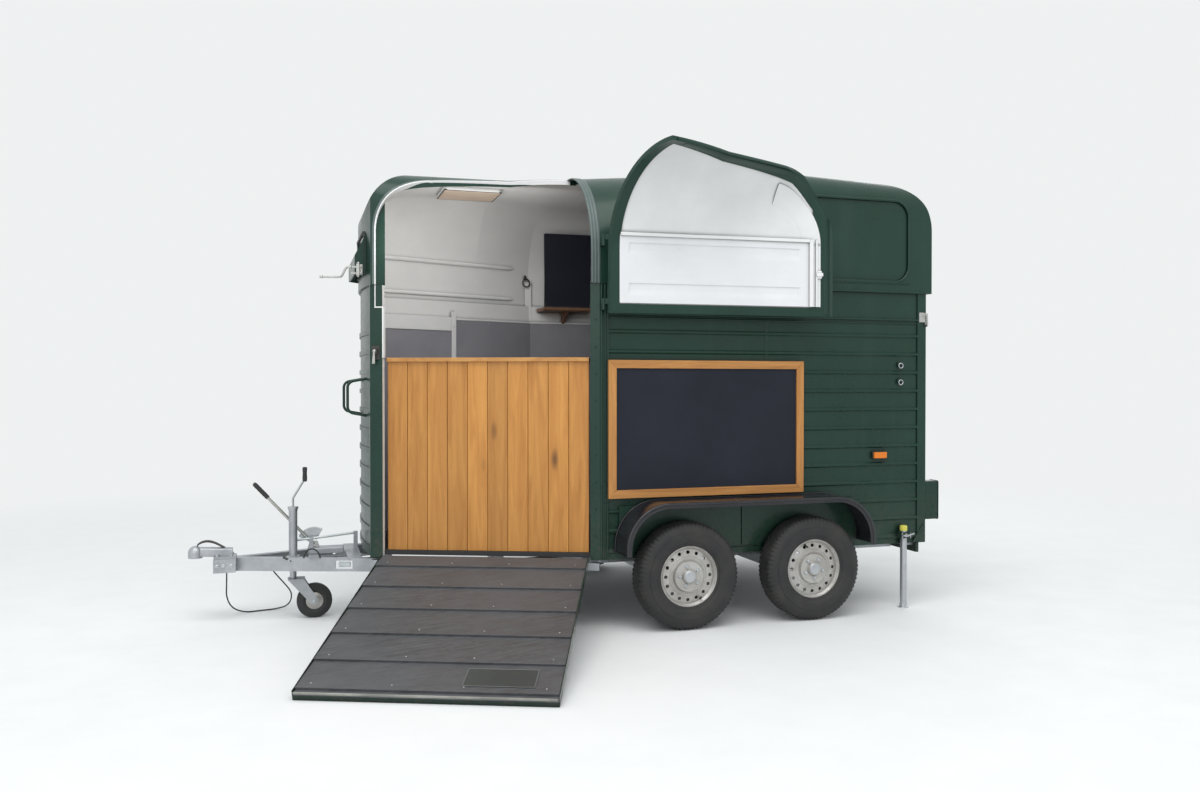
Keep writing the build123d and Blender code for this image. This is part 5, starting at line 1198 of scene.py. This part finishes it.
for side_name, side in SIDES:
    for number, axle_x in zip(("first", "second"), AXLE_XS):
        body = f"wheel_{side_name}_{number}"
        centre = at(axle_x, side * (WHEEL_OUTER_Y - TYRE_HALF), TYRE_RADIUS)
        way = Y * side
        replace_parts(tyre_tread(f"tyre_tread_{side_name}_{number}", centre, side, body),
            f"tyre_{side_name}_{number}")
        start_angle = rng.uniform(0.0, 2 * math.pi)
        nuts = Builder()
        for step in range(5):
            angle = start_angle + 2 * math.pi * step / 5
            place = centre + around(angle) * 0.058 + way * 0.06
            nuts.turned(place, way, mm(0, 12.5, 2, 12.5, 3, 10, 10.5, 9.8, 13, 7.5, 14, 3, 14.1, 0), 6)
        nuts.turned(centre + way * 0.074, way, mm(0, 33, 3, 30, 4, 24, 3, 20, 2, 0), 28)
        eased(nuts.finish(f"wheel_nuts_{side_name}_{number}", ZINC, body=body), 28.0)
        rings = Builder()
        for radius, out, width, height in ((0.1665, 0.06, 0.005, 0.0035), (0.112, 0.0425, 0.004, 0.003),
                (0.1, 0.043, 0.004, 0.003)):
            rings.turned(centre + way * out, way, ((-0.002, radius - width),
                (height * 0.7, radius - width * 0.85), (height, radius - width / 2),
                (height * 0.7, radius - width * 0.15), (-0.002, radius)), 64, closed=True)
        eased(rings.finish(f"rim_rings_{side_name}_{number}", WHEEL_SILVER, body=body))
        valve_angle = start_angle + 0.9
        valve_foot = centre + around(valve_angle) * 0.15 + way * 0.04
        eased(Builder().turned(valve_foot, way - around(valve_angle) * 0.5,
            mm(0, 6.5, 6, 5.5, 10, 4.2, 26, 4, 27, 4.8, 36, 4.6, 37, 0),
            12) .finish(f"tyre_valve_{side_name}_{number}", RUBBER, body=body))

# Mudguards: rolled outer edge, second lip, flange, fixing bolts and backing sheet
GUARD_X, GUARD_LOW, GUARD_TOP, GUARD_RADIUS = (0.09, 1.628), 0.432, 0.712, 0.25


def guard_path(depth, y):
    """Line along a mudguard's outline, set in by a depth."""
    radius = GUARD_RADIUS - depth
    spring = GUARD_TOP - GUARD_RADIUS
    left, right = GUARD_X[0] + GUARD_RADIUS, GUARD_X[1] - GUARD_RADIUS
    path = [at(left - radius, y, GUARD_LOW)]
    for step in range(17):
        angle = math.pi / 2 * step / 16
        path.append(at(left - radius * math.cos(angle), y, spring + radius * math.sin(angle)))
    for step in range(17):
        angle = math.pi / 2 * (1 - step / 16)
        path.append(at(right + radius * math.cos(angle), y, spring + radius * math.sin(angle)))
    path.append(at(right + radius, y, GUARD_LOW))
    return path


for side_name, side in SIDES:
    tube(f"guard_roll_{side_name}", guard_path(0.0065, side * 1.06), 0.0085, GUARD_BLACK, resolution=5)
    tube(f"guard_lip_{side_name}", guard_path(0.027, side * 1.06), 0.0042, GUARD_BLACK)
    tube(f"guard_flange_{side_name}", guard_path(-0.003, side * 0.87), 0.005, GUARD_BLACK)
    heads = [(at(0.42 + 0.176 * step, side * 0.867, 0.713), Vector((0, side * 0.5, 0.8)).normalized())
        for step in range(6)]
    rivets(f"guard_bolts_{side_name}", heads, 0.0065, ZINC, 0.6)
    inner = Builder()
    for x0, x1 in ((0.112, 0.856), (0.862, 1.606)):
        inner.box(x0, side * 0.8645, 0.432, x1 - x0, side * 0.0035, 0.25)
    bevelled(inner.finish(f"guard_backing_{side_name}", GREEN), 0.001)

# Lamps: amber side lenses, rear lenses in their rims
for side_name, side in SIDES:
    bevelled(Builder().box(1.7365, side * 0.87, 0.9135, 0.087, side * 0.0165,
        0.037) .finish(f"side_lens_{side_name}", AMBER), 0.0035, 3)
    bevelled(Builder().box(1.7325, side * 0.862, 0.9095, 0.095, side * 0.011,
        0.045) .finish(f"side_lamp_base_{side_name}", RUBBER, "black_plastic"), 0.002)
    for label, low, high, material in (("stop", 0.652, 0.752, RED), ("turn", 0.596, 0.648, AMBER),
            ("reverse", 0.535, 0.592, CLEAR_LENS)):
        lens = Builder()
        lens.box(2.2085, side * 0.78, low, 0.009, side * 0.072, high - low)
        for step in range(5):
            lens.box(2.217, side * (0.788 + 0.0125 * step), low + 0.004, 0.0016, side * 0.006,
                high - low - 0.008)
        bevelled(lens.finish(f"rear_lens_{label}_{side_name}", material), 0.0012)
    rim = Builder()
    outline = [at(2.21, side * y, z) for y, z in rounded_outline(0.7745, 0.8575, 0.5265, 0.7605, 0.008, 3)]
    rim.sweep(outline, half_round(0.008, 0.004), X, closed=True)
    eased(rim.finish(f"lamp_box_rim_{side_name}", GREEN))

# Latches: front latch with its cranked rod, ramp latch, rear corner latches, rings and gussets
LATCH_OUT, RING_X = 0.018, 1.926
latch = Builder()
latch.near_box(1.335, 0.014, 1.976, 0.03, 0.0075, 0.06)
for rise in (1.9815, 2.0165):
    latch.near_box(1.337, LATCH_OUT, rise, 0.063, 0.014, 0.0095)
latch.near_box(1.347, LATCH_OUT, 1.972, 0.018, 0.022, 0.066)
bevelled(latch.finish("front_latch", CHROME), 0.0022, 3)
latch_pins = Builder()
for rise in (1.963, 2.036):
    latch_pins.turned(near_wall(1.356, 0.03, rise), UP, mm(0, 0, 0.5, 6, 6, 7.5, 11, 6, 12.5, 0), 16)
eased(latch_pins.finish("front_latch_pins", CHROME))
tube("front_latch_rod", [near_wall(s, 0.03, z) for s, z in ((1.395, 2.0215), (1.412, 2.021), (1.426, 2.016),
    (1.437, 1.996), (1.45, 1.97), (1.462, 1.965), (1.5, 1.965), (1.575, 1.967))], 0.0062, CHROME,
    smooth_path=True)
knob = Builder()
knob.turned(near_wall(1.394, 0.03, 2.0212), NEAR_ALONG, mm(0, 7, 1, 9.2, 18, 9.2, 19, 7), 16)
knob.turned(near_wall(1.56, 0.03, 1.9668), NEAR_ALONG, mm(0, 6.6, 1, 7.8, 17, 7.8, 20, 0), 16)
eased(knob.finish("front_latch_sleeves", CHROME))
bevelled(Builder().near_box(1.24, 0.0075, 1.5, 0.046, 0.006, 0.078) .near_box(1.25, 0.0125, 1.53, 0.026,
    0.02, 0.034).finish("ramp_latch_plate", CAST), 0.002)
lever = Builder()
lever.turned(near_wall(1.263, 0.024, 1.548), NEAR_OUT, mm(0, 9.5, 16, 9.5, 18, 7.5, 19, 0), 18)
lever.prism([near_wall(along, 0.0355, z) for along, z in ((1.258, 1.552), (1.268, 1.552), (1.276, 1.478),
    (1.258, 1.476))], NEAR_OUT * 0.0055)
bevelled(lever.finish("ramp_latch_lever", CHROME), 0.0018)
for side_name, side in SIDES:
    way = Y * side
    rear_latch = Builder()
    rear_latch.block(at(2.062, side * (HALF_WIDTH + 0.0075), 1.744), X * 0.04, way * 0.0045, UP * 0.06)
    rear_latch.block(at(2.098, side * (HALF_WIDTH + 0.01), 1.727), X * 0.018, way * 0.01, UP * 0.074)
    rear_latch.block(at(2.11, side * (HALF_WIDTH - 0.01), 1.716), X * 0.0065, way * 0.034, UP * 0.018)
    bevelled(rear_latch.finish(f"rear_latch_{side_name}", CHROME), 0.0018)
    handle_y, gusset_y, loop_y = (side * (HALF_WIDTH + out) for out in (0.0225, 0.0078, 0.0205))
    handle = Builder()
    handle.turned(at(2.107, side * (HALF_WIDTH + LATCH_OUT), 1.788), way, mm(0, 8, 10, 8, 12, 0), 16)
    handle.prism([at(x, handle_y, z) for x, z in ((2.101, 1.794), (2.113, 1.794), (2.117, 1.724),
        (2.106, 1.72))], way * 0.005)
    bevelled(handle.finish(f"rear_latch_handle_{side_name}", CHROME), 0.0015)
    for label, z in (("upper", 1.484), ("lower", 1.382)):
        eased(Builder().turned(at(RING_X, side * HALF_WIDTH, z), way,
            mm(0, 16.5, 10.5, 16.5, 12, 15, 12.5, 7, 19, 6.5, 20, 0),
            20) .finish(f"ring_eye_{label}_{side_name}", GREEN))
        loop = [at(RING_X, loop_y, z - 0.008) + around(math.pi / 2 - 2 * math.pi * step / 20) * 0.015
            for step in range(21)]
        tube(f"ring_{label}_{side_name}", loop, 0.003, ZINC, ends=False)
    bevelled(Builder().prism([at(x, gusset_y, z) for x, z in ((2.02, 0.392), (2.108, 0.392), (2.108, 0.5),
        (2.094, 0.5))], way * 0.004) .finish(f"corner_gusset_{side_name}", GREEN), 0.001)

# Prop stands: coloured cap, foot plate, clamp screw and handle
STAND_X = 1.94
for side_name, side in SIDES:
    stand_body = f"prop_stand_{side_name}"
    foot = at(STAND_X, side * 0.888, 0.0)
    eased(Builder().turned(foot + UP * 0.469, UP, mm(0, 20.2, 0, 22.2, 26, 22.2, 30, 20.5, 31.5, 15, 31.8,
        0), 28).finish(f"stand_cap_{side_name}", YELLOW, body=stand_body))
    pad = Builder()
    pad.turned(foot, UP, mm(0, 0, 0, 33, 3.5, 33.5, 6, 32, 7.5, 24, 24, 21.8, 24, 20), 28)
    for height in (0.12, 0.2, 0.28, 0.36):
        pad.turned(foot + UP * height, UP, mm(0, 19.8, 0.6, 20.4, 2, 20.4, 2.6, 19.8), 28, closed=True)
    eased(pad.finish(f"stand_foot_{side_name}", ZINC, body=stand_body))
    clamp = Builder()
    clamp_place = at(STAND_X, side * 0.9135, 0.443)
    clamp.turned(clamp_place, Y * side, mm(0, 12, 5, 12, 5.5, 6.5, 24, 6.5, 25, 0), 18)
    for x in (1.9085, 1.9655):
        clamp.box(x, side * 0.914, 0.427, 0.006, side * 0.006, 0.032)
    eased(clamp.finish(f"stand_screw_{side_name}", ZINC))
    tube(f"stand_clamp_handle_{side_name}", [at(1.905, side * 0.933, 0.444),
        at(STAND_X, side * 0.9335, 0.4435), at(1.985, side * 0.933, 0.455)], 0.0048, ZINC)

# Drawbar fittings: overrun box, linkage, clamp handle, breakaway cable, lever grip and bolts
JOCKEY_Y, DRAWBAR_TOP = -0.066, 0.3655
bevelled(Builder().box(-1.53, -0.052, 0.3662, 0.2, 0.104, 0.034)
    .box(-1.3, -0.02, 0.345, -0.06, 0.04, 0.03) .finish("overrun_box", GALVANISED), 0.005, 3)
blocks = Builder()
SLOT_X, ARM_REAR, ARM_RUN = -1.34, (-0.545, 0.52), (-1.355, -0.472)
middle_y = ARM_REAR[1] + ARM_RUN[1] * (SLOT_X - ARM_REAR[0]) / ARM_RUN[0]
for side in (-1, 1):
    run = Vector((ARM_RUN[0], side * ARM_RUN[1], 0)).normalized()
    outward = Vector((run.y * side, -run.x * side, 0))
    start = at(SLOT_X, side * middle_y, 0.328) - run * 0.034 - outward * 0.02 - UP * 0.015
    blocks.block(start, run * 0.068, outward * 0.012, UP * 0.03)
bevelled(blocks.finish("slot_blocks", TRIM, "zinc"), 0.004, 3)
tube("brake_rod", [at(-1.5, 0.0, 0.35), at(-1.29, 0.0, 0.344), at(-0.6, 0.0, 0.33), at(0.3, 0.0, 0.318)],
    0.0055, ZINC)
tube("coupling_rod", [at(-1.6, -0.03, 0.45), at(-1.43, -0.028, 0.464), at(-1.255, -0.024, 0.48)], 0.0075,
    TRIM, "zinc")
rod_feet = Builder()
for x, z, top in ((-1.515, DRAWBAR_TOP, 0.467), (-1.262, 0.3665, 0.49)):
    rod_feet.box(x - 0.012, -0.036, z, 0.024, 0.006, top - z)
rod_feet.box(-1.32, -0.258, DRAWBAR_TOP, 0.08, 0.516, 0.006)
bevelled(rod_feet.finish("rod_brackets", GALVANISED), 0.001)
tube("jockey_clamp_handle", [at(-1.673, -0.132, 0.372), at(-1.637, -0.136, 0.352),
    at(-1.601, -0.14, 0.331)], 0.0065, CAST)
eased(Builder().turned(at(-1.637, -0.098, 0.352), Vector((-0.1, -1.0, 0.0)),
    mm(0, 15, 8, 15, 8.5, 7.5, 44, 7.5, 44.5, 0), 20).finish("jockey_clamp_screw", ZINC))
tube("breakaway_loop", [at(*place) for place in ((-1.56, -0.166, DRAWBAR_TOP), (-1.553, -0.168, 0.402),
    (-1.515, -0.181, 0.424), (-1.477, -0.194, 0.402), (-1.47, -0.197, DRAWBAR_TOP))], 0.0045, RUBBER,
    "black_cable", smooth_path=True)
lever_way = Vector((-0.669, 0.0, 0.743))
eased(Builder().turned(at(-1.8345, 0.0, 0.7876) - lever_way * 0.118, lever_way,
    mm(0, 9.2, 0.5, 12.5, 10, 13.2, 20, 12.6, 30, 13.4, 40, 12.6, 50, 13.4, 60, 12.6, 70, 13.4, 80, 12.6,
    90, 13.4, 108, 12.8, 116, 9.5, 120, 0), 24).finish("brake_grip", RUBBER, "black_plastic"), 50.0)
sector = Builder()
arc_points = []
for radius, order in ((0.1, range(13)), (0.03, reversed(range(13)))):
    for step in order:
        angle = math.radians(60.0 + 90.0 * step / 12)
        arc_points.append(at(-1.5 + radius * math.cos(angle), 0.0045, 0.416 + radius * math.sin(angle)))
sector.prism(arc_points, Y * 0.005)
for step in range(12):
    angle = math.radians(62.0 + 7.4 * step)
    spoke = around(angle)
    sector.block(at(-1.5, 0.0045, 0.416) + spoke * 0.099, spoke * 0.006, spoke.cross(Y) * 0.0045, Y * 0.005)
bevelled(sector.finish("brake_sector", ZINC), 0.0005)
eased(Builder().turned(at(-1.551, JOCKEY_Y, 0.795), UP,
    mm(0, 6.5, 1, 12, 20, 13.5, 50, 12, 76, 13.5, 84, 12, 86, 0), 24) .finish("crank_grip", RUBBER,
    "black_plastic"))
collar = Builder()
for z, height in ((0.3, 0.01), (0.628, 0.012)):
    collar.turned(at(-1.617, JOCKEY_Y, z), UP, ((0.0, 0.0238), (0.0, 0.0262), (height, 0.0262),
        (height, 0.0238)), 32, closed=True)
eased(collar.finish("jockey_collars", ZINC))
head_bolts = [(at(x, y, 0.3775), UP) for x in (-1.955, -2.03) for y in (-0.043, 0.043)]
head_bolts += [(at(x, side * 0.0875, 0.33), Y * side) for side in (-1, 1) for x in (-1.955, -1.995, -2.03)]
bolt_heads = Builder()
for place, way in head_bolts:
    bolt_heads.turned(place, way, mm(0, 13.5, 2, 13.5, 2.2, 10.5, 10, 10.5, 11.2, 8.5, 11.3, 0), 6)
eased(bolt_heads.finish("head_bolts", ZINC), 28.0)
eased(Builder().sweep([at(-2.14 + 0.15 * step / 10, 0.0,
    0.44 + 0.03 * math.sin(math.pi * (step / 10) ** 0.8) - 0.022 * step / 10) for step in range(11)],
    [(-0.014, -0.004), (0.014, -0.004), (0.014, 0.003), (0.009, 0.007), (-0.009, 0.007), (-0.014, 0.003)],
    UP).finish("coupling_handle", CAST))
JOCKEY_AXLE = at(-1.499, JOCKEY_Y, 0.1)
hub = Builder()
for side in (-1, 1):
    hub.turned(JOCKEY_AXLE + Y * (side * 0.018), Y * side,
        mm(0, 62, 2, 60, 3, 42, 11, 33, 12.5, 30, 12.5, 9, 0, 9), 32, closed=True)
eased(hub.finish("jockey_hub", WHEEL_SILVER, body="jockey_wheel"))
fork_nuts = Builder()
for side in (-1, 1):
    fork_nuts.turned(JOCKEY_AXLE + Y * (side * 0.0435), Y * side,
        mm(0, 15, 1.8, 15, 2, 11.5, 11, 11.2, 12.5, 8, 12.6, 0), 6)
eased(fork_nuts.finish("fork_nuts", ZINC, body="jockey_fork"), 28.0)

# Rear: blank plate in its holder, reflectors, ramp channels, door beads and grab handle
REAR_FACE = 2.121
NUMBER_HALF, NUMBER_Z, NUMBER_HEIGHT, HOLDER_EDGE = 0.26, 0.62, 0.111, 0.008
bevelled(Builder().box(REAR_FACE - 0.001, -NUMBER_HALF, NUMBER_Z, 0.004, 2 * NUMBER_HALF,
    NUMBER_HEIGHT) .finish("blank_number_plate", YELLOW, "blank_board", "rear_ramp"), 0.0015)
plate_holder = Builder()
for z in (NUMBER_Z - HOLDER_EDGE, NUMBER_Z + NUMBER_HEIGHT):
    plate_holder.box(REAR_FACE - 0.001, -NUMBER_HALF - HOLDER_EDGE, z, 0.007,
        2 * (NUMBER_HALF + HOLDER_EDGE), HOLDER_EDGE)
for y in (-NUMBER_HALF - HOLDER_EDGE, NUMBER_HALF):
    plate_holder.box(REAR_FACE - 0.001, y, NUMBER_Z, 0.007, HOLDER_EDGE, NUMBER_HEIGHT)
for y in (-0.13, 0.13):
    plate_holder.box(REAR_FACE - 0.001, y - 0.026, 0.741, 0.03, 0.052, 0.022)
bevelled(plate_holder.finish("plate_holder", RUBBER, "black_plastic", "rear_ramp"), 0.0015)
for side_name, side in SIDES:
    corners = [at(REAR_FACE - 0.0005, side * 0.64 - 0.075 + y, 0.48 + z)
        for y, z in ((0.0, 0.0), (0.15, 0.0), (0.075, 0.13))]
    bevelled(Builder().prism(corners, X * 0.006).finish(f"reflector_{side_name}", RED, body="rear_ramp"),
        0.002)
channels = Builder()
for z in (0.87, 1.09, 1.31, 1.53):
    channels.sweep([at(REAR_FACE, -0.69 + 1.38 * step / 8, z) for step in range(9)],
        half_round(0.05, 0.0095), X)
ramp_border = [at(REAR_FACE, y, z) for y, z in rounded_outline(-0.738, 0.738, 0.412, 1.726, 0.03, 4)]
channels.sweep(ramp_border, half_round(0.02, 0.006), X, closed=True)
eased(channels.finish("rear_ramp_channels", GREEN, body="rear_ramp"))
tube("rear_grab_handle", [at(REAR_FACE + x, y, 1.2) for x, y in ((-0.002, -0.11), (0.03, -0.108),
    (0.046, -0.09), (0.046, 0.09), (0.03, 0.108), (-0.002, 0.11))], 0.0085, CHROME, body="rear_ramp")
fasteners = Builder()
for side in (-1, 1):
    for z in (0.98, 1.52):
        fasteners.box(REAR_FACE - 0.001, side * 0.716 - 0.022, z, 0.01, 0.044, 0.07)
        fasteners.turned(at(REAR_FACE + 0.008, side * 0.716, z + 0.035), X,
            mm(0, 13.5, 20, 13.5, 24, 10.5, 24.5, 0), 20)
bevelled(fasteners.finish("rear_fasteners", ZINC, body="rear_ramp"), 0.0015)
DOOR_FACE = 2.147
for side_name, side in SIDES:
    door_body = f"rear_door_{side_name}"
    panel = Builder()
    outline = [at(DOOR_FACE, side * y, z) for y, z in rounded_outline(0.06, 0.69, 1.81, 2.225, 0.045, 5)]
    panel.sweep(outline, half_round(0.018, 0.006), X, closed=True)
    eased(panel.finish(f"rear_door_bead_{side_name}", GREEN, body=door_body))
    bolt = Builder()
    bolt.box(DOOR_FACE - 0.001, side * 0.32 - 0.03, 1.768, 0.005, 0.06, 0.055)
    bolt.turned(at(DOOR_FACE + 0.012, side * 0.32, 1.768), UP, mm(0, 0, 0, 7.5, 60, 7.5, 62, 0), 16)
    bevelled(bolt.finish(f"rear_door_bolt_{side_name}", ZINC, body=door_body), 0.001)
bevelled(Builder().box(DOOR_FACE - 0.0005, -0.03, 1.756, 0.005, 0.0335,
    0.53) .finish("rear_door_meeting_strip", GREEN, body="rear_door_near"), 0.0015)

# Front window seal
seal = Builder()
seal_path = [at(-1.2404 + 0.046 * (y / 0.4183) ** 2, y, z)
    for y, z in rounded_outline(-0.27, 0.27, 2.01, 2.235, 0.05, 5)]
seal.sweep(seal_path, [(-0.009, -0.012), (0.009, -0.012), (0.009, 0.004), (0.004, 0.007), (-0.004, 0.007),
    (-0.009, 0.004)], X * -1, closed=True)
eased(seal.finish("front_window_seal", RUBBER, "black_plastic"))

# Floor, world and lamps
BACKDROP = (0.86, 0.88, 0.88)
floor_mesh = mesh_from("floor", [(-40, -40, 0), (40, -40, 0), (40, 40, 0), (-40, 40, 0)], [(0, 1, 2, 3)])
floor = bpy.data.objects.new("floor", floor_mesh)
bpy.context.scene.collection.objects.link(floor)
floor_shader = Shader("floor_pale")
floor_grain = floor_shader.noise(3.0, 4.0, 0.6)
floor_shader.set("Base Color", floor_shader.mix(floor_shader.ramp(floor_grain, 0.3, 0.8),
    (0.84, 0.845, 0.84), (0.8, 0.805, 0.8)))
floor_shader.set("Roughness", floor_shader.ramp(floor_grain, 0.3, 0.8, 0.75, 0.9))
floor_glow = floor_shader.node("ShaderNodeEmission")
floor_glow.inputs["Color"].default_value = (*BACKDROP, 1.0)
floor_rays = floor_shader.node("ShaderNodeLightPath")
floor_distance = floor_shader.node("ShaderNodeVectorMath", operation="LENGTH")
floor_shader.feed(floor_distance.inputs[0], floor_shader.position)
floor_far = floor_shader.times(floor_shader.ramp(floor_distance.outputs["Value"], 3.0, 8.5),
    floor_rays.outputs["Is Camera Ray"])
floor_blend = floor_shader.node("ShaderNodeMixShader")
floor_shader.feed(floor_blend.inputs[0], floor_far)
floor_shader.link(floor_shader.surface.outputs[0], floor_blend.inputs[1])
floor_shader.link(floor_glow.outputs[0], floor_blend.inputs[2])
floor_shader.link(floor_blend.outputs[0], floor_shader.output.inputs[0])
floor_mesh.materials.append(floor_shader.material)

world = bpy.data.worlds.new("world")
bpy.context.scene.world = world
world.use_nodes = True
world_tree = world.node_tree
world_tree.nodes.clear()
ambient, backdrop = (world_tree.nodes.new("ShaderNodeBackground") for _ in range(2))
for background, colour, strength in ((ambient, (0.93, 0.97, 1.0), 0.8), (backdrop, BACKDROP, 1.0)):
    background.inputs["Color"].default_value = (*colour, 1.0)
    background.inputs["Strength"].default_value = strength
rays = world_tree.nodes.new("ShaderNodeLightPath")
seen = rays.outputs["Is Camera Ray"]
for kind in ("Is Transmission Ray", "Is Glossy Ray"):
    total = world_tree.nodes.new("ShaderNodeMath")
    total.operation = "ADD"
    world_tree.links.new(seen, total.inputs[0])
    world_tree.links.new(rays.outputs[kind], total.inputs[1])
    seen = total.outputs[0]
world_blend = world_tree.nodes.new("ShaderNodeMixShader")
for socket, source in zip(world_blend.inputs, (seen, ambient.outputs[0], backdrop.outputs[0])):
    world_tree.links.new(source, socket)
world_tree.links.new(world_blend.outputs[0],
    world_tree.nodes.new("ShaderNodeOutputWorld") .inputs["Surface"])


def lamp(name, position, target, size, power):
    data = bpy.data.lights.new(name, "AREA")
    data.shape = "RECTANGLE"
    data.size, data.size_y = size
    data.energy = power
    light = bpy.data.objects.new(name, data)
    bpy.context.scene.collection.objects.link(light)
    light.location = position
    light.rotation_euler = (Vector(target) - Vector(position)).to_track_quat("-Z", "Y").to_euler()


lamp("sky", (-1.0, -3.0, 7.5), (0.0, 0.0, 1.0), (7.0, 5.0), 320.0)
lamp("front_fill", (-4.5, -8.5, 4.0), (0.0, 0.0, 1.2), (6.0, 4.0), 95.0)
lamp("rear_fill", (6.0, 6.0, 5.0), (0.0, 0.0, 1.2), (6.0, 4.0), 120.0)
lamp("inside_fill", at(-0.6, -0.42, 2.28), at(-0.6, 0.86, 1.62), (1.0, 0.4), 4.0)

bpy.context.scene.view_settings.view_transform = "Standard"
